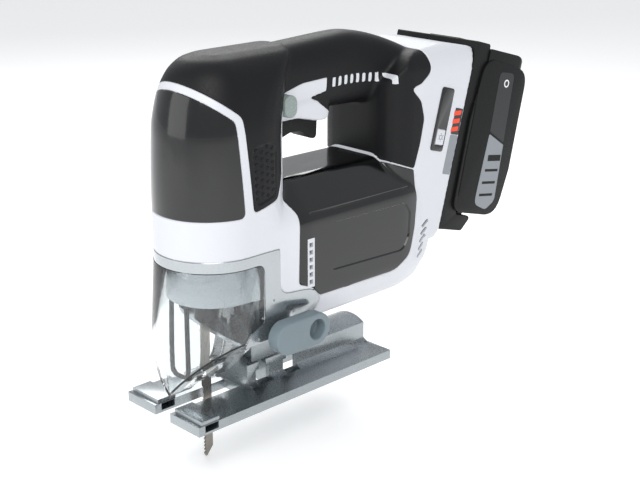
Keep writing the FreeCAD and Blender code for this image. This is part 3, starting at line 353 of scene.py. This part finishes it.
def eased(stations, per_gap=6):
    """Extra stations between the given ones, on monotone cubic curves, so that no form overshoots."""
    keys = np.array([s[0] for s in stations], float)
    values = np.array([np.ravel(s[1]) for s in stations], float)
    gaps = np.diff(keys)[:, None]
    slopes = np.diff(values, axis=0) / gaps
    tangents = np.zeros_like(values)
    tangents[0], tangents[-1] = slopes[0], slopes[-1]
    for i in range(1, len(keys) - 1):
        product = slopes[i - 1] * slopes[i]
        total = slopes[i - 1] + slopes[i]
        safe = np.where(np.abs(total) > 1e-9, total, 1)
        tangents[i] = np.where(product > 0, 2 * product / safe, 0)
    made = []
    for i in range(len(keys) - 1):
        for step in range(per_gap):
            t = step / per_gap
            h = keys[i + 1] - keys[i]
            blend = ((2 * t ** 3 - 3 * t ** 2 + 1) * values[i]
                     + (t ** 3 - 2 * t ** 2 + t) * h * tangents[i]
                     + (3 * t ** 2 - 2 * t ** 3) * values[i + 1]
                     + (t ** 3 - t ** 2) * h * tangents[i + 1])
            made.append((keys[i] + t * h, blend))
    made.append((keys[-1], values[-1]))
    return made


def loft(name, rings, material=None):
    """Closed skin over rings that all have the same number of points."""
    count = len(rings[0])
    spots = [tuple(spot) for ring in rings for spot in ring]
    faces = [tuple(range(count))[::-1],
             tuple(range((len(rings) - 1) * count, len(rings) * count))]
    for row in range(len(rings) - 1):
        for i in range(count):
            j = (i + 1) % count
            faces.append((row * count + i, row * count + j, (row + 1) * count + j, (row + 1) * count + i))
    piece = new_piece(name, spots, faces, material)
    face_outwards(piece)
    return piece


# --- the tool's outer form ------------------------------------------------------------------

PACK_TILT = math.radians(15.5)
PACK_ORIGIN = (146.5, 140)
VOXEL_MM = 1.15


def in_pack_frame(back, y, up):
    """A spot of the battery's tilted frame, on the tool."""
    return (PACK_ORIGIN[0] + up * math.sin(PACK_TILT) + back * math.cos(PACK_TILT), y,
            PACK_ORIGIN[1] + up * math.cos(PACK_TILT) - back * math.sin(PACK_TILT))


def on_pack_side(back, up, y):
    """A spot of the side view in the battery's tilted frame."""
    return in_pack_frame(back, y, up)


def round_front(near, far, wide, radius_rear, steps=22):
    """Plan that is half-round in front and square with rounded corners behind."""
    centre = near + wide
    spots = [(centre - wide * math.cos(t), wide * math.sin(t))
             for t in np.linspace(-math.pi / 2, math.pi / 2, 2 * steps + 1)]
    for turn in np.linspace(math.pi / 2, 0, 7):
        spots.append((far - radius_rear + radius_rear * math.cos(turn),
                      wide - radius_rear + radius_rear * math.sin(turn)))
    for turn in np.linspace(0, -math.pi / 2, 7):
        spots.append((far - radius_rear + radius_rear * math.cos(turn),
                      -wide + radius_rear + radius_rear * math.sin(turn)))
    return spots


def head_form():
    stations = [(46, (-78, 36, 3, 16)), (112, (-78, 36, 3.5, 20)), (136, (-78, 36, 4, 33)),
                (178, (-76.5, 35, 5, 33)), (198, (-73, 31.5, 8, 29)), (212, (-67, 26, 11, 20)),
                (221, (-58, 18, 13, 9)), (224.3, (-48, 10, 12, 5))]
    rings = []
    for z, (near, wide, far, tight) in eased(stations):
        rings.append([(a, b, z) for a, b in round_front(near, far, wide, min(tight, wide - 0.5))])
    return loft("head_form", rings)


def handle_form():
    stations = [(-34, (178, 223.4, 22.5)), (0, (177.5, 223.4, 18.5)), (30, (178.5, 224.6, 17.5)),
                (66, (177, 226, 17.8)), (84, (176.5, 223.5, 19.5)), (100, (175, 219, 24)),
                (124, (172, 209, 31))]
    rings = []
    for x, (low, high, wide) in eased(stations):
        middle, tall = (low + high) / 2, (high - low) / 2
        ring = []
        for turn in np.linspace(0, 2 * math.pi, 48, endpoint=False):
            c, s = math.cos(turn), math.sin(turn)
            ring.append((x, wide * math.copysign(abs(c) ** 0.78, c),
                         middle + tall * math.copysign(abs(s) ** 0.78, s)))
        rings.append(ring)
    return loft("handle_form", rings)


def barrel_form():
    stations = [(-30, (36, 141, 48)), (-12, (37, 142, 47)), (6, (40, 142.5, 46)), (92, (40, 142, 46)),
                (116, (37, 139, 48)), (137, (26, 128, 62))]
    rings = []
    for x, (wide, top, low) in eased(stations):
        corners = [(-wide + 12, low, 12), (wide - 12, low, 12), (wide, low + 20, 16),
                   (wide, top - 22, 14), (wide - 19, top, 8), (-wide + 19, top, 8),
                   (-wide, top - 22, 14), (-wide, low + 20, 16)]
        rings.append([(x, a, b) for a, b in arc_outline(corners)])
    return loft("barrel_form", rings)


def rear_form():
    low, high = in_pack_frame(0, 0, -58), in_pack_frame(0, 0, 70)
    side = [(84, 96, 4), (low[0] - 6, low[2] - 6, 6), (low[0], low[2], 2), (high[0], high[2], 2),
            (140, 212, 30), (104, 210, 20), (84, 190, 8)]
    form = side_prism("rear_form", side, 38)
    plan = prism("rear_plan", arc_outline([(84, -38, 24), (200, -38, 2), (200, 38, 2), (84, 38, 24)]),
                 60, 230, lambda a, b, z: (a, b, z))
    section = prism("rear_section", arc_outline([(-38, 50, 2), (38, 50, 2), (38, 213, 20),
                                                 (-38, 213, 20)]), 60, 200, lambda a, b, x: (x, a, b))
    return cut_by(form, plan, section, operation="INTERSECT")


def guard_form():
    side = [(2, 176.5, 4), (20, 176.5, 20), (36, 172.5, 3), (46, 172, 4), (48, 180, 4), (40, 196, 4),
            (0, 196, 4)]
    return side_prism("guard_form", side, 14)


def joined(name, parts):
    """Several meshes in one object."""
    mesh = bmesh.new()
    for part in parts:
        mesh.from_mesh(part.data)
        bpy.data.objects.remove(part)
    data = bpy.data.meshes.new(name)
    mesh.to_mesh(data)
    mesh.free()
    piece = bpy.data.objects.new(name, data)
    bpy.context.scene.collection.objects.link(piece)
    return piece


def outer_skin():
    """One blended skin over every form, with the dock, trigger room and rail channel sunk in it."""
    whole = joined("outer", [head_form(), handle_form(), barrel_form(), rear_form(), guard_form()])
    merge = whole.modifiers.new("merge", "REMESH")
    merge.mode = "VOXEL"
    merge.voxel_size = VOXEL_MM * MM
    apply_all(whole)
    relax = whole.modifiers.new("relax", "SMOOTH")
    relax.iterations = 12
    relax.factor = 0.5
    apply_all(whole)
    dock = pack_block("dock", (0, -60, -59), (90, 60, 100))
    rails = pack_block("rails", (-6.4, -20.4, -42.4), (8, 20.4, 95))
    room = box_piece("room", (7.6, -9.4, 150), (41.4, 9.4, 189))
    return cut_by(whole, dock, rails, room)


def pack_block(name, low, high, material=None):
    """Block in the battery's frame."""
    outline = [(low[0], low[2]), (high[0], low[2]), (high[0], high[2]), (low[0], high[2])]
    return prism(name, outline, low[1], high[1], on_pack_side, material)


# --- zones, in the side view ----------------------------------------------------------------

COVER_ZONE = [(-95, 130, 0.5), (-44, 130, 4), (-48.2, 188.6, 6), (-95, 225.4, 0.5)]
GRIP_ZONE = [(-37.5, 131.5, 3), (-15.5, 136, 4), (-9, 150, 20), (-8.5, 172, 10), (-5, 186, 8),
             (3, 195.5, 10), (20, 199.5, 30), (41.5, 200.3, 0.5), (41.5, 191.5, 0.5), (27, 189, 1.5),
             (36, 185.5, 6), (47.5, 177, 3), (48, 160, 0.5), (82, 152, 1), (84.6, 140.2, 0.5),
             (103.6, 132.9, 2), (109, 150, 12), (112.5, 166, 12), (109, 178, 8), (100, 187.5, 8),
             (109, 190, 3), (119.5, 197, 8), (117, 210, 9), (100, 223, 4), (98, 240, 0.5),
             (-95, 240, 0.5), (-95, 231.4, 0.5), (-43, 190.6, 8)]
PANEL_ZONE = [(-3.5, 78, 3), (6, 74.5, 8), (14, 66.8, 3), (84, 65.8, 20), (99, 74, 12),
              (104, 92, 20), (106, 112, 20), (103.4, 132.2, 1), (84, 139.2, 1), (80, 148, 1),
              (0, 148, 1), (-8, 134, 5), (-2.5, 124, 8)]
SKIRT_ZONE = [(-95, 40, 0.5), (14.5, 40, 0.5), (14.5, 74.5, 23.5), (-17.5, 74.5, 8), (-17.5, 105, 1),
              (-95, 105, 0.5)]
WINDOW_ZONE = [(-95, 4, 0.5), (-46, 4, 0.5), (-46, 48, 3), (-41, 55, 3), (-30, 60, 3), (-30, 98, 6),
               (-95, 98, 0.5)]
VENT_ZONE = [(2.5, 74.5, 1), (8.5, 74.5, 1), (8.5, 107, 1), (2.5, 107, 1)]
PLATE_ZONE = [(24, 81, 3), (92, 78.5, 8), (98, 88, 8), (99, 104, 6), (93, 112, 3), (24, 113.5, 3)]
RIB_ZONE = [(6, 121.5, 0.8), (98, 120.5, 0.8), (98, 122.3, 0.8), (6, 123.3, 0.8)]
PATCH_ZONE = [(-36, 135, 4), (-17.5, 139, 4), (-16.5, 168, 6), (-22, 173, 5), (-38, 171.5, 4)]
BAR_COUNT = 9
SEAM_WIDE, SEAM_DEEP = 0.55, 0.45


def bar_zone(count):
    """One of the upright slots in the side of the grip, where the white shell shows."""
    x = 46.2 + 5.3 * count
    z = 192.6 + 3.4 * math.sin(math.pi * (count + 1.5) / 15) - 0.55 * count
    return [(x, z, 0.7), (x + 2.6, z, 0.7), (x + 2.6, z + 6, 0.7), (x, z + 6, 0.7)]


def distance_to(corners, spots_mm):
    """Signed distance in the side view to a rounded outline, negative inside."""
    outline = arc_outline(corners, 6)
    low, high = outline.min(0) - 8, outline.max(0) + 8
    flat = spots_mm[:, [0, 2]]
    result = np.full(len(flat), 8.0)
    near = np.where(((flat > low) & (flat < high)).all(1))[0]
    spots = flat[near]
    best = np.full(len(spots), 1e9)
    inside = np.zeros(len(spots), bool)
    for a, b in zip(outline, np.roll(outline, -1, 0)):
        edge = b - a
        t = np.clip(((spots - a) @ edge) / max(edge @ edge, 1e-12), 0, 1)
        best = np.minimum(best, np.hypot(*(spots - a - t[:, None] * edge).T))
        crosses = (a[1] > spots[:, 1]) != (b[1] > spots[:, 1])
        rise = b[1] - a[1] if abs(b[1] - a[1]) > 1e-12 else 1e-12
        inside ^= crosses & (spots[:, 0] < (b[0] - a[0]) * (spots[:, 1] - a[1]) / rise + a[0])
    result[near] = np.where(inside, -best, best)
    return result


def spots_of(mesh):
    return np.array([v.co for v in mesh.verts], float).reshape(-1, 3) / MM


def cut_along(mesh, field, level):
    """Cuts the faces of mesh where the field crosses the level."""
    mesh.verts.ensure_lookup_table()
    values = field(spots_of(mesh)) - level
    values[np.abs(values) < 0.04] = 0
    crossing = [(e, values[e.verts[0].index], values[e.verts[1].index]) for e in mesh.edges]
    crossing = [(e, a, b) for e, a, b in crossing if a * b < 0]
    on_line = [v for v in mesh.verts if values[v.index] == 0]
    for edge, a, b in crossing:
        _, made = bmesh.utils.edge_split(edge, edge.verts[0], a / (a - b))
        on_line.append(made)
    bmesh.ops.connect_verts(mesh, verts=on_line, check_degenerate=False)
    mesh.verts.index_update()
    big = [f for f in mesh.faces if len(f.verts) > 4]
    bmesh.ops.triangulate(mesh, faces=big)


def sink_seam(mesh, field, wide=SEAM_WIDE, deep=SEAM_DEEP):
    """Presses a V groove into the skin along the line where the field is zero."""
    for level in (-wide, wide, 0.0):
        cut_along(mesh, field, level)
    mesh.normal_update()
    values = np.abs(field(spots_of(mesh)))
    for vert, value in zip(mesh.verts, values):
        if value < wide * 0.9:
            vert.co -= vert.normal * deep * MM * (1 - value / wide)


def press(mesh, corners, depth, slope=0.9):
    """Sinks a zone of the sides by depth, or raises it where depth is negative."""
    field = zone_field(corners)
    for level in (0.0, -slope):
        cut_along(mesh, field, level)
    mesh.normal_update()
    values = field(spots_of(mesh))
    for vert, value in zip(mesh.verts, values):
        if value < 0 and abs(vert.normal.y) > 0.55:
            vert.co.y -= math.copysign(depth * MM * min(1, -value / slope), vert.co.y)


def slot_zone(count):
    """One of the slanting slots behind the motor."""
    x, z = 115.5 - 1.2 * count, 92 - 5.2 * count
    along, across = (3.0, 2.1), (-0.75, 1.05)
    return [(x - along[0] - across[0], z - along[1] - across[1], 0.6),
            (x + along[0] - across[0], z + along[1] - across[1], 0.6),
            (x + along[0] + across[0], z + along[1] + across[1], 0.6),
            (x - along[0] + across[0], z - along[1] + across[1], 0.6)]


def zone_field(corners):
    """Distance to a zone as a function of spots alone."""
    return lambda spots: distance_to(corners, spots)


def split_zones():
    """Cuts the skin into named face groups along its seams; returns the mesh and each face's name."""
    skin = outer_skin()
    mesh = bmesh.new()
    mesh.from_mesh(skin.data)
    bpy.data.objects.remove(skin)
    fields = {"cover": zone_field(COVER_ZONE), "skirt": zone_field(SKIRT_ZONE),
              "panel": zone_field(PANEL_ZONE), "grip": zone_field(GRIP_ZONE)}
    for field in fields.values():
        sink_seam(mesh, field)
    for corners, depth in ((PLATE_ZONE, 0.9), (RIB_ZONE, -0.7), (PATCH_ZONE, 0.5)):
        press(mesh, corners, depth)
    holes = [zone_field(VENT_ZONE)] + [zone_field(slot_zone(count)) for count in range(5)]
    for hole in holes:
        cut_along(mesh, hole, 0.0)
    bars = [zone_field(bar_zone(count)) for count in range(BAR_COUNT)]
    for bar in bars:
        cut_along(mesh, bar, 0.0)
    cut_along(mesh, zone_field(WINDOW_ZONE), 0.0)
    middles = np.array([f.calc_center_median() for f in mesh.faces], float) / MM
    names = np.full(len(middles), "housing", dtype=object)
    for name, field in fields.items():
        names[field(middles) < 0] = name
    for bar in bars:
        names[bar(middles) < 0] = "bars"
    names[(names == "skirt") & (distance_to(WINDOW_ZONE, middles) < 0)] = "window"
    names[(names == "bars") & (np.abs(middles[:, 1]) < 13.5)] = "grip"
    for hole in holes:
        names[(hole(middles) < 0) & (np.abs(middles[:, 1]) > 25)] = "hole"
    return mesh, names


def part_of(mesh, names, wanted, piece_name, material, wall_mm, side=0):
    """The faces of one group as a shell of its own; side -1 keeps the left half, 1 the right."""
    copy = mesh.copy()
    copy.faces.ensure_lookup_table()
    drop = [f for f, name in zip(copy.faces, names)
            if name != wanted or (side and f.calc_center_median().y * side < 0)]
    bmesh.ops.delete(copy, geom=drop, context="FACES")
    data = bpy.data.meshes.new(piece_name)
    copy.to_mesh(data)
    copy.free()
    piece = bpy.data.objects.new(piece_name, data)
    bpy.context.scene.collection.objects.link(piece)
    data.materials.clear()
    data.materials.append(material)
    wall = piece.modifiers.new("wall", "SOLIDIFY")
    wall.thickness = wall_mm * MM
    wall.offset = -1
    wall.use_rim = True
    apply_all(piece)
    return smooth(piece, math.radians(30))


def make_shells():
    """White housing, black skins and silver skirt, all from the one blended skin."""
    mesh, names = split_zones()
    sink = {"housing": ("housing_shell", WHITE_ABS, 2.2, "white_shell"),
            "bars": ("grip_bars", WHITE_ABS, 1.4, "white_shell"),
            "grip": ("soft_grip", SOFT_GRIP, 1.5, "soft_grip"),
            "cover": ("front_cover_skin", GLOSS_ABS, 1.5, "black_gloss"),
            "panel": ("motor_panels", GLOSS_ABS, 1.5, "black_gloss"),
            "skirt": ("skirt_shell", SILVER_PAINT, 2.2, "bright_skirt")}
    stands_for = {"housing": ("housing_left", "housing_right"), "bars": (),
                  "grip": ("grip_left", "grip_right"), "cover": ("front_cover",),
                  "panel": ("motor_panel_left", "motor_panel_right"), "skirt": ("gear_skirt",)}
    for zone, (name, material, wall, slot_name) in sink.items():
        piece = part_of(mesh, names, zone, name, material, wall)
        finish(piece, "housing", slot_name, *stands_for[zone])
    tree = BVHTree.FromBMesh(mesh)
    mesh.free()
    return tree


# --- smaller pieces -------------------------------------------------------------------------

def rounded_copy(node_name, width_mm, material, body, slot_name, angle=SHARP):
    """The node's own form with its edges rounded, in place of the node."""
    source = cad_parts[node_name]
    mesh = bmesh.new()
    mesh.from_mesh(source.data)
    mesh.transform(source.matrix_world)
    bmesh.ops.remove_doubles(mesh, verts=mesh.verts, dist=2e-6)
    bmesh.ops.dissolve_limit(mesh, angle_limit=math.radians(0.5), verts=mesh.verts, edges=mesh.edges)
    data = bpy.data.meshes.new(node_name + "_rounded")
    mesh.to_mesh(data)
    mesh.free()
    data.materials.append(material)
    piece = bpy.data.objects.new(node_name + "_rounded", data)
    bpy.context.scene.collection.objects.link(piece)
    soften(piece, width_mm, 3, angle)
    return finish(piece, body, slot_name, node_name)


def skin_at(tree, x, z, side):
    """Where the side of the tool lies at a spot of the side view, in millimetres."""
    hit = tree.ray_cast(Vector((x, side * 70, z)) * MM, Vector((0, -side, 0)))[0]
    return hit.y / MM


def domes(name, spots_mm, radius_mm, material, body, slot_name):
    """Equal round bumps on the given spots."""
    piece = new_piece(name, spots_mm, [], material)
    tree = bpy.data.node_groups.new(name, "GeometryNodeTree")
    tree.interface.new_socket("Geometry", in_out="INPUT", socket_type="NodeSocketGeometry")
    reach = tree.interface.new_socket("Radius", in_out="INPUT", socket_type="NodeSocketFloat")
    tree.interface.new_socket("Geometry", in_out="OUTPUT", socket_type="NodeSocketGeometry")
    start = tree.nodes.new("NodeGroupInput")
    dome = add_node(tree, "GeometryNodeMeshIcoSphere", inputs={
        "Radius": start.outputs["Radius"], "Subdivisions": 3})
    spread = add_node(tree, "GeometryNodeInstanceOnPoints", inputs={
        "Points": start.outputs["Geometry"], "Instance": dome.outputs["Mesh"]})
    real = add_node(tree, "GeometryNodeRealizeInstances", inputs={
        "Geometry": spread.outputs["Instances"]})
    coat = add_node(tree, "GeometryNodeSetMaterial", inputs={
        "Geometry": real.outputs["Geometry"], "Material": material})
    end = tree.nodes.new("NodeGroupOutput")
    tree.links.new(coat.outputs["Geometry"], end.inputs["Geometry"])
    step = piece.modifiers.new("spread", "NODES")
    step.node_group = tree
    step[reach.identifier] = radius_mm * MM
    apply_all(piece)
    smooth(piece, math.radians(80))
    return finish(piece, body, slot_name)


def plate(name, outline, deep, thick, material, body, slot_name, to_space=on_side):
    """Flat piece on the side of the tool: deep is its outer face, thick reaches inwards."""
    piece = prism(name, outline, deep, deep - math.copysign(thick, deep), to_space, material)
    return finish(piece, body, slot_name)


def band(spots, half):
    """Outline of a strip of even width along a bent line."""
    line = np.array(spots, float)
    ahead = np.gradient(line, axis=0)
    ahead /= np.linalg.norm(ahead, axis=1)[:, None]
    across = np.stack([-ahead[:, 1], ahead[:, 0]], 1) * half
    return np.concatenate([line + across, (line - across)[::-1]])


def circle(x, z, radius, steps=40):
    """Round outline."""
    turn = np.linspace(0, 2 * math.pi, steps, endpoint=False)
    return np.stack([x + radius * np.cos(turn), z + radius * np.sin(turn)], 1)


def ring(name, x, z, radius, half, deep, thick, material, body, slot_name):
    """Flat ring on the side of the tool."""
    piece = prism(name, circle(x, z, radius + half), deep, deep - math.copysign(thick, deep), on_side,
                  material)
    core = prism(name + "_core", circle(x, z, radius - half), -60, 60, on_side)
    return finish(smooth(cut_by(piece, core)), body, slot_name)


def make_rounded_nodes():
    """Visible CAD pieces whose moulded or cast edges show."""
    for name, width, material, body, slot_name in (
            ("base_plate", 0.7, CAST_ALUMINIUM, "sole", "cast_aluminium"),
            ("seat_bracket", 0.5, CAST_ALUMINIUM, "housing", "cast_aluminium"),
            ("orbital_knob", 0.9, KNOB_NYLON, "orbital_knob", "grey_knob"),
            ("trigger", 1.0, BLACK_NYLON, "trigger", "black_matte"),
            ("lock_button", 0.8, BUTTON_ACETAL, "lock_button", "grey_button"),
            ("battery_case", 0.8, BLACK_NYLON, "battery", "black_matte"),
            ("battery_cover", 0.5, BLACK_NYLON, "battery", "black_matte"),
            ("battery_release", 0.8, BLACK_NYLON, "release", "black_matte"),
            ("chip_cover", 0.35, CLEAR_PC, "chip_cover", "clear_plastic"),
            ("light_button", 0.4, WHITE_ABS, "light_button", "white_shell")):
        rounded_copy(name, width, material, body, slot_name)


BUMP_RADIUS, BUMP_SUNK = 1.15, 0.35


def make_grip_bumps(tree):
    """Staggered bumps in the soft patch on each side of the head."""
    spots = []
    for side in (-1, 1):
        for column in range(4):
            for row in range(8 - column % 2):
                x = -34.5 + 4.6 * column
                z = 139.5 + 4.3 * row + 2.15 * (column % 2) + 0.4 * column
                spots.append((x, skin_at(tree, x, z, side) - side * BUMP_SUNK, z))
    domes("grip_bumps", spots, BUMP_RADIUS, SOFT_GRIP, "housing", "soft_grip")


# How far out the battery's pillow and the prints stand, and how thick a print is, in millimetres.
PILLOW_FACE, COLUMN_PRINT, LAMP_SIGN, PRINT_THICK = 38.9, 38.15, 39.0, 0.3


def make_battery_sides():
    """Raised pillow, groove, printed label and ring on each side of the battery."""
    corners = [(9.5, -44, 8), (60, -45, 16), (64.5, -10, 30), (62, 62, 13), (13, 64.5, 12),
               (8, 20, 30)]
    groove = [(9.6, 44), (10.6, 20), (11, -5), (12.2, -33)]
    label = [(32.7, 13, 1), (51.3, 7, 1), (54.5, -34, 7), (46, -41, 6), (32, -38, 6), (32, -25, 8)]
    strip = [(30.5, 57, 4), (47, 58, 4), (51, 8.6, 1), (32.7, 14.8, 1)]
    for side, word in ((-1, "left"), (1, "right")):
        pillow = prism(f"battery_pillow_{word}", arc_outline(corners), side * 36, side * PILLOW_FACE,
                       on_pack_side, BLACK_NYLON)
        channel = prism("channel", band(groove, 0.7), side * (PILLOW_FACE - 0.7), side * 42,
                        on_pack_side)
        finish(soften(cut_by(pillow, channel), 0.7, 3), "battery", "black_matte")
        plate(f"battery_label_{word}", arc_outline(label), side * (PILLOW_FACE + 0.15), PRINT_THICK,
              INK_GREY, "battery", None, on_pack_side)
        # Painted sheen: a lighter strip of the same nylon where the battery's side catches the light.
        plate(f"battery_sheen_strip_{word}", arc_outline(strip), side * (PILLOW_FACE + 0.1), PRINT_THICK,
              SHEEN_NYLON, "battery", "black_matte", on_pack_side)
        mark = in_pack_frame(40, 0, 50)
        ring(f"battery_ring_{word}", mark[0], mark[2], 2.3, 0.5, side * (PILLOW_FACE + 0.25), 0.4,
             INK_WHITE, "battery", None)
        for count in range(4):
            line = [(35.5 + count * 0.4, -31 + 9 * count), (50.5 + count * 0.2, -29.5 + 9 * count)]
            plate(f"label_line_{word}_{count}", band(line, 2.2 if count == 3 else 0.9),
                  side * (PILLOW_FACE + 0.25), PRINT_THICK, BLACK_NYLON, "battery", "black_matte",
                  on_pack_side)
    web = prism("battery_foot_web", arc_outline([(1, -48, 1), (30, -48, 2), (34, -42, 2), (1, -42, 1)]),
                -31, 31, on_pack_side, BLACK_NYLON)
    finish(soften(web, 0.5, 2), "battery", "black_matte")


def make_control_panel():
    """Round-ended black panel with the opening for the lamp button."""
    corners = [(-28, -4.5, 2.4), (-15, -4.5, 2.4), (-15, 39, 2.4), (-28, 39, 2.4)]
    panel = prism("control_panel_plate", arc_outline(corners), -38.6, -35.5, on_pack_side, GLOSS_ABS)
    hole = prism("button_hole", arc_outline([(-24.7, -0.2, 0.8), (-15.9, -0.2, 0.8), (-15.9, 10.7, 0.8),
                                             (-24.7, 10.7, 0.8)]), -45, -30, on_pack_side)
    finish(soften(cut_by(panel, hole), 0.4, 2), "housing", "black_gloss", "control_panel")


def make_painted_slot_shade():
    """Painted shade: a dark sheet that shows behind the slanting slots, standing in for the shade inside
    the tool.
    """
    corners = [(105, 62, 2), (119, 76, 2), (122, 98, 2), (106, 98, 2)]
    for side, word in ((-1, "left"), (1, "right")):
        # Painted shade: a black sheet where the slots look into the shaded inside.
        plate(f"painted_slot_shade_{word}", arc_outline(corners), side * 34, 1, BLACK_NYLON, "housing",
              "black_matte")


KNOB_CENTRE, MARK_RADIUS = (-10, 50), 26


def make_prints():
    """Printed marks on the housing: warning strip, lamp sign and the knob's scale."""
    for name, low, high, ink, slot_name in (("strip_grey", -19.3, 8.2, INK_GREY, None),
                                            ("strip_dark", 8.6, 26.8, GLOSS_ABS, "black_gloss")):
        corners = [(-9.5, low, 1), (-1.5, low, 1), (-1.5, high, 1), (-9.5, high, 1)]
        plate(name, arc_outline(corners), -COLUMN_PRINT, 0.35, ink, "housing", slot_name, on_pack_side)
    for count in range(3):
        corners = [(-10, 10 + 5.6 * count, 0.6), (-3, 11.4 + 5.6 * count, 0.6),
                   (-3, 14.6 + 5.6 * count, 0.6), (-10, 13.2 + 5.6 * count, 0.6)]
        plate(f"strip_bar_{count}", arc_outline(corners), -COLUMN_PRINT - 0.15, PRINT_THICK, INK_ORANGE,
              "housing", None, on_pack_side)
    lamp = in_pack_frame(-20.3, 0, 5.2)
    ring("lamp_sign", lamp[0], lamp[2], 1.5, 0.25, -LAMP_SIGN, PRINT_THICK, INK_GREY, "light_button", None)
    for count in range(6):
        turn = math.pi * count / 3 + 0.3
        line = [(lamp[0] + r * math.cos(turn), lamp[2] + r * math.sin(turn)) for r in (2.2, 3.0)]
        plate(f"lamp_ray_{count}", band(line, 0.2), -LAMP_SIGN, PRINT_THICK, INK_GREY, "light_button", None)
    for count in (1, 2, 3):
        turn = math.radians(90 + 30 * count)
        x, z = KNOB_CENTRE[0] + MARK_RADIUS * math.cos(turn), KNOB_CENTRE[1] + MARK_RADIUS * math.sin(turn)
        domes(f"knob_mark_{count}", [(x, -36.1, z)], 0.8, INK_GREY, "housing", None)


# --- camera, light and floor ----------------------------------------------------------------

def make_stage():
    camera_data = bpy.data.cameras.new("view")
    camera_data.lens = 70.3
    camera_data.sensor_width = 36
    camera_data.clip_start = 0.01
    camera = bpy.data.objects.new("view", camera_data)
    bpy.context.scene.collection.objects.link(camera)
    camera.location = Vector((-506.41, -572.81, 353.41)) * MM
    azimuth, rise = math.radians(-44.27), math.radians(18.51)
    camera.rotation_euler = Euler((math.pi / 2 - rise, 0, azimuth))
    bpy.context.scene.camera = camera

    floor_z = cad_box[0][2] / MM - 0.5
    reach = 4000
    floor = new_piece("floor", [(-reach, -reach, floor_z), (reach, -reach, floor_z),
                                (reach, reach, floor_z), (-reach, reach, floor_z)], [(0, 1, 2, 3)],
                      surface("paper_floor", "#FFFFFF", 0.8, grain_mm=3, grain_depth_mm=0.01, tone=0.01,
                              **{"Emission Color": linear("#FFFFFF"), "Emission Strength": 0.22}))
    world = bpy.data.worlds.new("studio")
    world.use_nodes = True
    world.node_tree.nodes["Background"].inputs["Color"].default_value = linear("#F5F7FA")
    world.node_tree.nodes["Background"].inputs["Strength"].default_value = 0.62
    bpy.context.scene.world = world
    bpy.context.scene.view_settings.view_transform = "Standard"
    for name, spot, wide, power in (("key", (-700, -900, 1100), 0.9, 11),
                                    ("fill", (-1100, 300, 500), 0.9, 3.5),
                                    ("rim", (500, 700, 900), 0.8, 7)):
        light_data = bpy.data.lights.new(name, "AREA")
        light_data.energy = power
        light_data.size = wide
        light = bpy.data.objects.new(name, light_data)
        bpy.context.scene.collection.objects.link(light)
        light.location = Vector(spot) * MM
        aim = Vector((50 * MM, 0, 100 * MM)) - light.location
        light.rotation_euler = aim.to_track_quat("-Z", "Y").to_euler()


paint_nodes()
skin_tree = make_shells()
make_rounded_nodes()
make_grip_bumps(skin_tree)
make_battery_sides()
make_control_panel()
make_painted_slot_shade()
make_prints()
make_stage()
